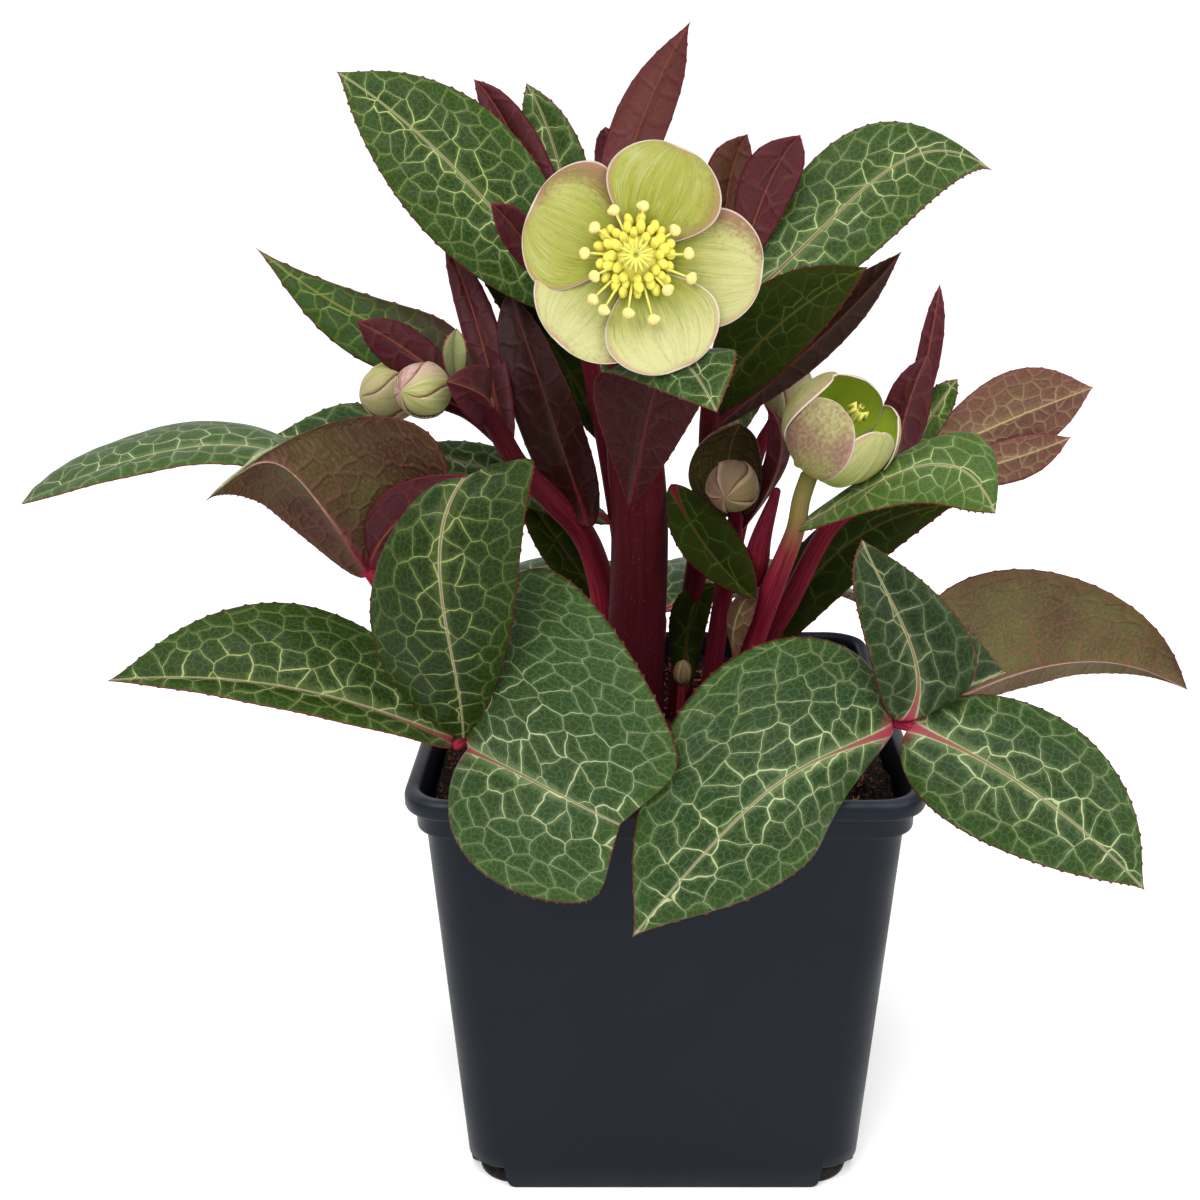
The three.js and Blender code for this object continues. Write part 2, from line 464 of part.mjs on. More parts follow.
// Stems, stalks and blades, from the crown of the plant outwards.
const shoots = [
  ['stem_middle', 'stem', stalk([[-8, 0, STEM_FOOT], [-8, -3, 150], [-7, -9, 195], [-10, -15, 232],
    [-10, -24, 254], [-8, -46, 273]], [8.6, 8.6, 8.6, 8.2, 5, 2.8], 12)],
  ['stem_left', 'maroon', grown(
    stalk([[-14, 14, STEM_FOOT], [-17, 12, 145], [-19, 8, 170], [-24, 0, 188], [-33, -8, 201],
      [-42, -13, 212], [-50, -19, 228], [-61, -25, 236]], [4.6, 4.4, 4.2, 4, 3.8, 3.6, 3, 2.4], 10),
    stalk([[-46, -16, 221], [-56, -14, 228], [-70, -14, 233]], [3, 2.2, 2.2]),
    blade(MIDDLE, [[-22, -7, 192], [-33, -8, 227], [-45, 8, 259]], [[8, 4, 0], [8, 4, 0]],
      [[-12, 4, 2], [-12, 4, 2]], { widest: 0.42, full: [0.6, 0.45] }),
    blade(SMALL, [[-45, -14, 216], [-54, 6, 248], [-64, 16, 273]], [[-5, 0, -1], [-5, 0, -1]],
      [[6, -2, 1], [6, -2, 1]], { full: [0.5, 0.5] }),
    blade(SMALL, [[-50, -18, 229], [-50, -36, 237], [-58, -44, 242]], [[2, 3, 7], [2, 3, 7]],
      [[-2, 3, -9], [-2, 3, -9]], { full: [0.5, 0.5] }),
    blade(SMALL, [[-55, -21, 233], [-72, -21, 247], [-84, -26, 255]], [[-4, 0, -6], [-4, 0, -6]],
      [[3, 2, 5], [3, 2, 5]]),
  )],
  ['stem_top_left', 'maroon', grown(
    stalk([[-6, 24, STEM_FOOT], [-10, 22, 160], [-16, 16, 205], [-22, 8, 240], [-25, 4, 256]],
      [4, 3.8, 3.4, 3, 2.4]),
    blade(SMALL, [[-24, 6, 258], [-42, 17, 299], [-55, 22, 318]], [[-5, -2, -3], [-5, -2, -3]],
      [[6, -2, 3], [6, -2, 3]]),
    blade(MIDDLE, [[-22, 6, 252], [-9, 8, 300], [7, 2, 333]], [[10, 2, 0], [7, 2, -1]],
      [[-10, 2, 0], [-7, 2, 1]], { full: [0.7, 1.1], widest: 0.6 }),
    blade(SMALL, [[-23, 7, 256], [-17, 14, 290], [-17, 16, 305]], [[4, 2, 0], [4, 2, 0]],
      [[-4, 2, 0], [-4, 2, 0]], { widest: 0.65 }),
    blade(SMALL, [[-25, 4, 250], [-38, -14, 274], [-47, -22, 286]], [[-2, -2, -5], [-2, -2, -5]],
      [[4, 0, 3], [4, 0, 3]], { widest: 0.6 }),
  )],
  ['stem_top_right', 'maroon', grown(
    stalk([[4, 20, STEM_FOOT], [8, 16, 150], [13, 8, 197], [14, 4, 228], [19, 2, 254]],
      [4, 3.8, 3.4, 3, 2.4]),
    blade(SMALL, [[18, 2, 252], [18, 14, 284], [24, 16, 303]], [[-7, -2, 3], [-7, -2, 3]],
      [[6, -2, -2], [6, -2, -2]], { widest: 0.6 }),
    blade(SMALL, [[19, 2, 254], [28, 5, 286], [38, 4, 303]], [[-8, -2, 3], [-8, -2, 3]],
      [[7, -2, -3], [7, -2, -3]], { widest: 0.6 }),
    blade(MIDDLE, [[13, 8, 218], [46, 12, 245], [70, 16, 270]], [[5, 2, -4], [5, 2, -4]],
      [[-6, 2, 6], [-6, 2, 6]]),
  )],
  ['stem_side', 'maroon', grown(
    stalk([[30, 14, STEM_FOOT], [31, 8, 145], [39, 4, 166], [51, 4, 190], [66, 8, 199], [74, 8, 208]],
      [4, 3.8, 3.4, 3, 2.6, 2]),
    blade(MIDDLE, [[72, 8, 206], [101, 16, 218], [131, 20, 229]], [[6, 2, -11], [6, 2, -11]],
      [[-4, 2, 13], [-4, 2, 13]], { widest: 0.6 }),
    blade(SMALL, [[73, 9, 202], [101, 16, 206], [125, 18, 214]], [[3, 0, -7], [3, 0, -7]],
      [[-2, 0, 6], [-2, 0, 6]], { widest: 0.6 }),
    blade(SMALL, [[73, 8, 208], [78, 10, 240], [81, 12, 261]], [[4, 0, -1], [4, 0, -1]],
      [[-3, 0, 1], [-3, 0, 1]], { widest: 0.5 }),
    blade(SMALL, [[68, 4, 202], [71, 0, 226], [77, 2, 242]], [[7, 2, -2], [7, 2, -2]],
      [[-6, 2, 2], [-6, 2, 2]]),
  )],
  ['stem_pink', 'pink', grown(
    stalk([[21, -6, STEM_FOOT], [22, -8, 135], [27, -12, 160], [31, -19, 176], [35, -25, 190],
      [37, -28, 198], [38, -29, 206], [40, -29, 213]], [5, 5, 4.4, 3.9, 3.7, 3.2, 2.7, 2.5], 10),
    blade(SMALL, [[22, -11, 152], [22, -18, 168], [28, -20, 178]], [[3, -4, -1], [3, -4, -1]],
      [[-3, 4, 1], [-3, 4, 1]], { widest: 0.5 }),
  )],
  ['stem_hood', 'maroon', grown(
    stalk([[12, 11, STEM_FOOT], [15, 8, 135], [18, 2, 165], [21, -6, 190], [21, -13, 204],
      [21, -20, 210]], [3.4, 3.2, 3, 2.8, 2.4, 2]),
    blade(MIDDLE, [[21, -8, 196], [19, 0, 209], [22, -6, 223]], [[-12, -14, 3], [-12, -14, 3]],
      [[9, -14, 3], [9, -14, 3]], { full: [0.5, 0.5], bulge: -0.2 }),
    blade(SMALL, [[22, -5, 190], [33, -14, 215], [28, -16, 231]], [[3, 2, 0], [3, 2, 0]],
      [[-4, 2, 0], [-4, 2, 0]]),
  )],
  ['stem_rear', 'maroon', stalk([[14, 22, STEM_FOOT], [18, 20, 150], [28, 16, 205], [34, 18, 219]],
    [3, 2.8, 2.4, 2])],
  ['sheath_red', 'stem', stalk([[28, -8, 166], [27, -20, 188], [31, -30, 209]], [2.4, 3.6, 1.2], 8)],
  ['stalk_west', 'pink', stalk([[-22, -12, STEM_FOOT], [-26, -18, 130], [-41, -36, 145],
    [-57, -60, 145]], [2.6, 2.5, 2.4, 1.8])],
  ['stalk_high', 'pink', stalk([[-30, 4, STEM_FOOT], [-36, 0, 132], [-58, -9, 154], [-77, -22, 173],
    [-84, -27, 185]], [2.6, 2.5, 2.4, 2.2, 2.2])],
  ['stalk_east', 'pink', stalk([[10, -16, STEM_FOOT], [18, -22, 134], [44, -40, 149],
    [66, -58, 150]], [2.6, 2.5, 2.4, 1.8])],
  ['stalk_rear', 'pink', stalk([[-2, 36, STEM_FOOT], [-2, 42, 126], [0, 58, 139], [0, 66, 140]],
    [2.6, 2.5, 2.3, 2.2])],
  ['leaf_west_out', 'leaf', blade(BIG, [[-58, -57, 144], [-100, -66, 164], [-148, -66, 166]],
    [[3, -12, -2], [2, -8, -3]], [[-3, 18, 21], [-3, 16, 16]], { full: [0.55, 0.8] })],
  ['leaf_west_up', 'leaf', blade(BIG, [[-55, -60, 147], [-55, -78, 178], [-56, -86, 205],
    [-50, -78, 224]], [[-25, 4, 0], [-13, 4, -4]], [[9, 4, -3], [27, 4, 8]],
  { widest: 0.5, full: [0.7, 0.15] })],
  ['leaf_west_front', 'leaf', blade(BIG, [[-54, -60, 144], [-38, -77, 144], [-24, -87, 141],
    [-12, -92, 137]], [[2, 22, 71], [23, 0, 21]], [[-17, -13, -19], [-7, -4, -28]],
  { widest: 0.5, full: [0.5, 0.15], bulge: 0.05 })],
  ['leaf_east_front', 'leaf', blade(BIG, [[62, -58, 149], [38, -80, 149], [19, -92, 140],
    [-9, -96, 107]], [[-7, -3, -16], [27, -2, -21]], [[-6, 16, 37], [-34, 6, 10]],
  { widest: 0.42, full: [0.5, 0.7], bulge: 0.05 })],
  ['leaf_east_out', 'leaf', blade(BIG, [[66.2, -58.2, 150], [96, -76, 139], [126, -84, 114]],
    [[12, 10, 14], [18, 8, 12]], [[-11, -6, -18], [-7, -5, -11]], { widest: 0.42, full: [0.55, 0.75] })],
  ['leaf_east_up', 'leaf', grown(
    blade(BIG, [[65, -59, 152], [67, -60, 168], [60, -57, 185], [52, -52, 201]],
      [[-13, -2, 0], [-11, -2, 1]], [[16, -2, 3], [16, -2, 0]], { widest: 0.42, full: [0.6, 0.6] }),
    blade(SMALL, [[66, -59, 152], [78, -60, 161], [93, -54, 164]], [[2, 2, 23], [-5, 2, 16]],
      [[0, 0, -2], [0, 0, -2]], { full: [0.7, 0.9] }),
  )],
  ['leaf_east_back', 'maroon', blade(BIG, [[67, -56, 150], [121, -15, 153], [161, -5, 140]],
    [[4, 6, -8], [4, 6, -6]], [[-32, -6, 37], [6, -4, 23]], { widest: 0.47, full: [0.8, 0.7] })],
  ['leaf_high_long', 'leaf', blade(BIG, [[-84, -25, 185], [-112, -20, 218], [-153, -24, 215],
    [-181, -26, 204]], [[3, -14, -6], [2, -8, 0]], [[-6, 24, 2], [-5, 20, 4]],
  { widest: 0.58, full: [0.7, 0.6] })],
  ['leaf_high_fold', 'maroon', blade(BIG, [[-84, -28, 185], [-96, -44, 213], [-106, -50, 222],
    [-121, -54, 212]], [[45, 2, 18], [10, 4, 8]], [[-4, 8, -14], [-11, 8, -14]],
  { widest: 0.42, full: [0.55, 0.7] })],
  ['leaf_high_back', 'maroon', blade(MIDDLE, [[-84, -23, 186], [-92, -2, 211], [-118, 6, 216]],
    [[-4, -6, -14], [-4, -6, -8]], [[7, 8, 18], [4, 8, 10]], { widest: 0.5 })],
  ['leaf_high_inner', 'maroon', blade(MIDDLE, [[-83, -28, 186], [-72, -42, 204], [-51, -44, 217]],
    [[5, 2, -6], [5, 2, -6]], [[-6, 2, 6], [-5, 2, 6]], { widest: 0.5 })],
  ['leaf_left_shade', 'leaf', blade(MIDDLE, [[-15, 17, 187], [-52, 15, 204], [-81, 18, 209]],
    [[0, -6, -8], [0, -6, -5]], [[0, 6, 8], [0, 6, 5]], { widest: 0.5 })],
  ['leaf_left_bronze', 'maroon', blade(MIDDLE, [[-48, -15, 229], [-64, -8, 244], [-84, -4, 252],
    [-117, 4, 272]], [[-4, -4, -8], [-8, -4, -10]], [[4, 4, 8], [4, 4, 6]], { widest: 0.5 })],
  ['bract_left_pale', 'lime', blade(SMALL, [[-58, -21, 236], [-58, -24, 246], [-57, -24, 253]],
    [[-3, -2, 1], [-3, -2, 1]], [[4, -2, 1], [4, -2, 1]])],
  ['leaf_collar', 'leaf', blade(BIG, [[-10, -17, 200], [-5, -34, 230], [1, -49, 248], [12, -72, 239]],
    [[15, 0, 0], [17, -4, 5]], [[-13, 5, 0], [-22, 7, -7]], { widest: 0.55, full: [0.8, 0.55] })],
  ['leaf_top_left', 'leaf', blade(BIG, [[-26, 2, 254], [-60, 8, 294], [-94, 20, 320]],
    [[-18, -4, -11], [-10, -4, -11]], [[12, 6, 16], [11, 6, 13]], { full: [0.7, 0.75] })],
  ['leaf_top_narrow', 'leaf', blade(MIDDLE, [[-22, 8, 258], [-31, 20, 296], [-40, 24, 317]],
    [[-8, -2, -2], [-8, -2, -2]], [[8, -2, 1], [8, -2, 1]])],
  ['leaf_top_shade', 'shade', blade(MIDDLE, [[-17, 16, 212], [-35, 14, 245], [-57, 18, 267]],
    [[-4, -3, -6], [-4, -3, -6]], [[7, 3, 9], [7, 3, 9]])],
  ['leaf_top_right', 'leaf', blade(BIG, [[20, 1, 255], [49, 6, 281], [71, 10, 297], [94, 12, 293]],
    [[-14, 6, 10], [-8, 6, 11]], [[8, -6, -16], [5, -6, -12]], { widest: 0.47, full: [0.6, 0.75] })],
  ['leaf_right_shade', 'shade', blade(MIDDLE, [[14, 2, 226], [31, -6, 250], [58, 0, 267]],
    [[-7, 4, 10], [-7, 4, 10]], [[6, -4, -8], [6, -4, -8]], { full: [0.7, 0.7] })],
  ['leaf_low_left', 'shade', blade(MIDDLE, [[-13, 20, 150], [-32, 18, 180], [-44, 22, 196]],
    [[-6, 0, -4], [-6, 0, -4]], [[6, 0, 4], [6, 0, 4]])],
  ['leaf_low_right', 'shade', blade(MIDDLE, [[2, -14, 207], [12, -20, 190], [27, -26, 175]],
    [[10, -2, 3], [10, -2, 3]], [[-6, -2, -3], [-6, -2, -3]])],
  ['leaf_low_crown', 'shade', blade(MIDDLE, [[7, 4, 135], [9, 10, 160], [17, 12, 169]],
    [[-6, 0, 2], [-6, 0, 2]], [[5, 0, -4], [5, 0, -4]])],
  ['leaf_low_side', 'shade', blade(MIDDLE, [[34, 5, 150], [57, 13, 181], [93, 22, 192]],
    [[-7, 4, 6], [-7, 4, 6]], [[7, -4, -7], [7, -4, -7]])],
  ['leaf_side_net', 'leaf', blade(MIDDLE, [[36, -28, 197], [55, -40, 212], [73, -46, 220],
    [87, -52, 208]], [[4, 8, 6], [10, 8, 8]], [[-2, -4, -6], [-4, -4, -12]],
  { widest: 0.6, full: [0.45, 0.6] })],
  ['leaf_side_small', 'leaf', blade(SMALL, [[74, 11, 209], [82, 12, 224], [88, 12, 233]],
    [[-4, 0, 3], [-4, 0, 3]], [[4, 0, -3], [4, 0, -3]])],
  ['leaf_rear_left', 'leaf', blade(BIG, [[0, 65, 142], [-50, 88, 146], [-92, 98, 122]],
    [[-8, -20, 4], [-8, -18, 4]], [[8, 20, 4], [8, 18, 4]])],
  ['leaf_rear_middle', 'leaf', blade(BIG, [[0, 67, 142], [-4, 104, 146], [-8, 140, 126]],
    [[-22, -3, 3], [-20, -3, 3]], [[22, 3, 3], [20, 3, 3]])],
  ['leaf_rear_right', 'leaf', blade(BIG, [[1, 65, 142], [52, 84, 146], [92, 96, 122]],
    [[-8, 20, 4], [-8, 18, 4]], [[8, -20, 4], [8, -18, 4]])],
  ['leaf_top_rear_left', 'leaf', blade(BIG, [[-18, 16, 214], [-26, 48, 258], [-38, 78, 272]],
    [[-14, -4, 4], [-14, -4, 4]], [[14, 4, 2], [14, 4, 2]])],
  ['leaf_top_rear_right', 'leaf', blade(BIG, [[15, 10, 206], [36, 52, 246], [52, 80, 256]],
    [[-13, 6, 4], [-13, 6, 4]], [[13, -6, 4], [13, -6, 4]])],
];

// Each piece gives way to those that are already in place, with a small gap between them.
const plant = new THREE.Group();
const placed = [];

function addMesh(parent, name, finish, solid) {
  const { numProp, vertProperties, triVerts } = solid.getMesh();
  const geometry = new THREE.BufferGeometry();
  geometry.setAttribute('position', new THREE.InterleavedBufferAttribute(
    new THREE.InterleavedBuffer(vertProperties, numProp), 3, 0));
  geometry.setIndex(new THREE.BufferAttribute(triVerts, 1));
  const mesh = new THREE.Mesh(geometry, new THREE.MeshStandardMaterial(FINISH[finish]));
  mesh.name = name;
  mesh.geometry.computeVertexNormals();
  parent.add(mesh);
}

function touches(solid, other) {
  const a = solid.boundingBox();
  const b = other.boundingBox();
  return [0, 1, 2].every((axis) => a.min[axis] < b.max[axis] && b.min[axis] < a.max[axis]);
}

function freeOf(solid) {
  return placed.filter((other) => touches(solid, other)).reduce((rest, other) => rest.subtract(other), solid);
}

addMesh(plant, 'pot', 'pot', mainBody(makePot()));

heads.forEach(([name, finish, make, place, facing]) => {
  const matrix = aimed(place, facing);
  const group = new THREE.Group();
  group.applyMatrix4(matrix);
  const body = mainBody(freeOf(make(0).transform(matrix.elements)));
  addMesh(group, name, finish, body.transform(matrix.clone().invert().elements));
  plant.add(group);
  placed.push(make(GAP).transform(matrix.elements));
});

shoots.forEach(([name, finish, make]) => {
  addMesh(plant, name, finish, mainBody(freeOf(make(0))));
  placed.push(make(GAP));
});

addMesh(plant, 'soil', 'soil', mainBody(freeOf(makeSoil())));

export default plant;
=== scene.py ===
# A hellebore in bloom in a square nursery pot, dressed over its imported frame. Metres, +Z up.
import math

import bpy
import numpy as np
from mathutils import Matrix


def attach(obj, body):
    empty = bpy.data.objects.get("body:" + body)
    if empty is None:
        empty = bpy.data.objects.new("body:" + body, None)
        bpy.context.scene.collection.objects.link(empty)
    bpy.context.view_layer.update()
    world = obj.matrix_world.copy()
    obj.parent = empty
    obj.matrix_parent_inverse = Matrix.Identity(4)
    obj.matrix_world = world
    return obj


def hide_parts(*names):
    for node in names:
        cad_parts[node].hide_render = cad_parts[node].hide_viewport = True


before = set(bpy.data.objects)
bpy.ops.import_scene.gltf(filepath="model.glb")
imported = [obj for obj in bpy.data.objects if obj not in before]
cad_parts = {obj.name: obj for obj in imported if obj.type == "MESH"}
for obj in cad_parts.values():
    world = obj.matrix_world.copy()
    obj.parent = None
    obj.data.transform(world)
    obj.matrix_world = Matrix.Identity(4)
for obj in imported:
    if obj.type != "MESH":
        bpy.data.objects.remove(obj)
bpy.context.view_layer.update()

# The studio: a pale floor that runs out to the horizon, an even white surround and two large
# soft lamps, one high in front on the left and a weaker one on the right. The camera looks
# slightly down on the plant from close in front.
CAMERA_PLACE = (-0.007, -0.452, 0.3125)
CAMERA_TILT = 72.2
CAMERA_LENS = 46.8
CAMERA_SHIFT = -0.0333
SURROUND_STRENGTH = 1.12
FLOOR_HALF = 30.0
scene = bpy.context.scene
scene.view_settings.view_transform = "Standard"

camera_data = bpy.data.cameras.new("camera")
camera_data.lens = CAMERA_LENS
camera_data.sensor_width = 36.0
camera_data.shift_x = CAMERA_SHIFT
camera_data.clip_start = 0.01
camera = bpy.data.objects.new("camera", camera_data)
camera.location = CAMERA_PLACE
camera.rotation_euler = (math.radians(CAMERA_TILT), 0, 0)
scene.collection.objects.link(camera)
scene.camera = camera

surround = bpy.data.worlds.new("white_surround")
surround.use_nodes = True
surround.node_tree.nodes["Background"].inputs["Color"].default_value = (1, 1, 1, 1)
surround.node_tree.nodes["Background"].inputs["Strength"].default_value = SURROUND_STRENGTH
scene.world = surround


def soft_lamp(name, place, target, size, power):
    """A square area lamp at a place, turned so that its face looks at the target."""
    lamp_data = bpy.data.lights.new(name, "AREA")
    lamp_data.size = size
    lamp_data.energy = power
    lamp = bpy.data.objects.new(name, lamp_data)
    lamp.location = place
    away = np.subtract(place, target)
    lamp.rotation_euler = (math.atan2(math.hypot(away[0], away[1]), away[2]), 0,
                           math.atan2(away[0], -away[1]))
    scene.collection.objects.link(lamp)


soft_lamp("key_lamp", (-0.5, -1.0, 1.4), (0, 0, 0.2), 1.0, 20.0)
soft_lamp("fill_lamp", (0.9, -0.9, 0.9), (0, 0, 0.2), 0.9, 11.0)

floor_mesh = bpy.data.meshes.new("floor")
floor_corners = [(x * FLOOR_HALF, y * FLOOR_HALF, 0) for x, y in ((-1, -1), (1, -1), (1, 1), (-1, 1))]
floor_mesh.from_pydata(floor_corners, [], [(0, 1, 2, 3)])
floor = bpy.data.objects.new("floor", floor_mesh)
scene.collection.objects.link(floor)
floor_paint = bpy.data.materials.new("floor_paint")
floor_paint.use_nodes = True
floor_shader = floor_paint.node_tree.nodes["Principled BSDF"]
floor_shader.inputs["Base Color"].default_value = (0.98, 0.98, 0.98, 1)
floor_shader.inputs["Roughness"].default_value = 0.9
floor_mesh.materials.append(floor_paint)

# The pot: a thin injection-moulded square pot of dark slate polypropylene with a satin face. It
# has a rolled lip over a short stacking band, walls that taper to a skirt, and at each corner
# the skirt is cut away over an inset foot with a drain slot.
MM = 0.001
RIM_HALF = 71.8
POT_HEIGHT = 133.0
BAND_HALF = 68.8
BAND_BASE = 121.0
LIP_BASE = 127.5
BODY_TOP_HALF = 67.5
BODY_BASE_HALF = 58.6
POT_WALL = 1.8
POT_CORNER = 11.0
PLINTH_HALF = 56.2
PLINTH_HEIGHT = 9.0
RECESS_TOP = 7.2
SKIRT_CUT_FROM = 47.35
CORNER_LIFT = 7.0
SLOT_LOW = 2.6
SLOT_HIGH = 6.6
SLOT_HALF = 6.5
SLOT_DEPTH = 5.0


def circle(sides):
    """Even angles round a full turn."""
    return np.linspace(0, 2 * math.pi, sides, endpoint=False)


def square_round(corner_steps=12):
    """Marks and directions of a rounded square: a ring of half width h and corner radius c is
    (h - c) times the mark plus c times the direction. Corner marks stay on the corner while the
    direction turns; between corners the mark slides along the side."""
    side = np.array([1, .9985, .996, .9945, .993, .99, .985, .975, .96, .94, .9, .8, .6, .3, 0])
    slide = np.concatenate([side[1:], -side[-2:0:-1]])
    marks, ways = [], []
    for quarter in range(4):
        turn = np.linspace(0, math.pi / 2, corner_steps) + quarter * math.pi / 2
        middle = quarter * math.pi / 2 + math.pi / 4
        sign = np.sign([math.cos(middle), math.sin(middle)])
        marks.append(np.tile(sign, (corner_steps, 1)))
        ways.append(np.stack([np.cos(turn), np.sin(turn)], 1))
        heading = np.array([math.cos(turn[-1]), math.sin(turn[-1])])
        marks.append(np.where(np.abs(heading) > 0.5, sign, slide[:, None] * sign))
        ways.append(np.tile(heading, (len(slide), 1)))
    return np.concatenate(marks), np.concatenate(ways)


SQUARE_MARKS, SQUARE_WAYS = square_round()


def square_rings(profile):
    """Stack of rounded square rings from a list of half width, corner radius and height."""
    rings = [np.column_stack([(half - corner) * SQUARE_MARKS + corner * SQUARE_WAYS,
                              np.broadcast_to(z, len(SQUARE_MARKS))]) for half, corner, z in profile]
    return np.array(rings)


def closed_rings(rings, skin, **facts):
    """Closed surface over a stack of rings: quads between neighbouring rings, and a fan from the
    middle of the first ring and of the last. Facts are attributes, one value for each point."""
    count, sides = rings.shape[:2]
    index = np.arange(count * sides).reshape(count, sides)
    ahead = np.roll(index, -1, axis=1)
    quads = np.stack([index[:-1], ahead[:-1], ahead[1:], index[1:]], -1).reshape(-1, 4)
    first, last = count * sides, count * sides + 1
    fans = np.concatenate([
        np.stack([np.full(sides, first), ahead[0], index[0]], -1),
        np.stack([np.full(sides, last), index[-1], ahead[-1]], -1)])
    part = {"co": np.concatenate([rings.reshape(-1, 3), [rings[0].mean(0), rings[-1].mean(0)]]),
            "quads": quads, "fans": fans, "skins": [(skin, len(quads), len(fans))]}
    for name, value in facts.items():
        value = np.array(value, float)
        ends = [value[0].mean(0, keepdims=True), value[-1].mean(0, keepdims=True)]
        part[name] = np.concatenate([value.reshape(-1, *value.shape[2:]), *ends])
    return part


# What the skins read from a piece's points. Spread is the place along and across the surface in
# millimetres, share the same as parts of the whole, tone three amounts of colour, and net the
# place in the net of veins.
FACTS = ("spread", "share", "tone", "net")


def add_piece(name, nodes, parts):
    """One mesh object from several closed surfaces in millimetres, with a material for each skin
    and the parts' attributes on its points. It rides on the root body and stands for its nodes."""
    starts = np.cumsum([0] + [len(part["co"]) for part in parts])[:-1]
    skins = []
    quads, fans, quad_skin, fan_skin = [], [], [], []
    for part, start in zip(parts, starts):
        quads.append(part["quads"] + start)
        fans.append(part["fans"] + start)
        for skin, quad_count, fan_count in part["skins"]:
            if skin not in skins:
                skins.append(skin)
            quad_skin.append(np.full(quad_count, skins.index(skin)))
            fan_skin.append(np.full(fan_count, skins.index(skin)))
    quads, fans = np.concatenate(quads), np.concatenate(fans)
    corners = np.concatenate([quads.ravel(), fans.ravel()]).astype(np.int32)
    loop_start = np.concatenate([np.arange(len(quads)) * 4, len(quads) * 4 + np.arange(len(fans)) * 3])
    points = np.concatenate([part["co"] for part in parts]) * MM
    mesh = bpy.data.meshes.new(name)
    mesh.vertices.add(len(points))
    mesh.vertices.foreach_set("co", points.astype(np.float32).ravel())
    mesh.loops.add(len(corners))
    mesh.loops.foreach_set("vertex_index", corners)
    mesh.polygons.add(len(loop_start))
    mesh.polygons.foreach_set("loop_start", loop_start.astype(np.int32))
    mesh.polygons.foreach_set("material_index", np.concatenate(quad_skin + fan_skin).astype(np.int32))
    mesh.polygons.foreach_set("use_smooth", np.ones(len(loop_start), bool))
    for fact in FACTS:
        if any(fact in part for part in parts):
            values = np.concatenate([part.get(fact, np.zeros((len(part["co"]), 3))) for part in parts])
            attribute = mesh.attributes.new(fact, "FLOAT_VECTOR", "POINT")
            attribute.data.foreach_set("vector", values.astype(np.float32).ravel())
    mesh.update(calc_edges=True)
    for skin in skins:
        mesh.materials.append(skin)
    piece = bpy.data.objects.new(name, mesh)
    scene.collection.objects.link(piece)
    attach(piece, "root")
    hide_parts(*nodes)
    return piece


STUDIO_GAIN = 2.05


def tinted(red, green, blue):
    """A colour named as it looks in this studio, in display values from 0 to 255. The shader takes
    the linear colour divided by the gain of the studio's light."""
    share = np.array([red, green, blue]) / 255
    linear = np.where(share <= 0.04045, share / 12.92, ((share + 0.055) / 1.055) ** 2.4)
    return (*(linear / STUDIO_GAIN), 1.0)


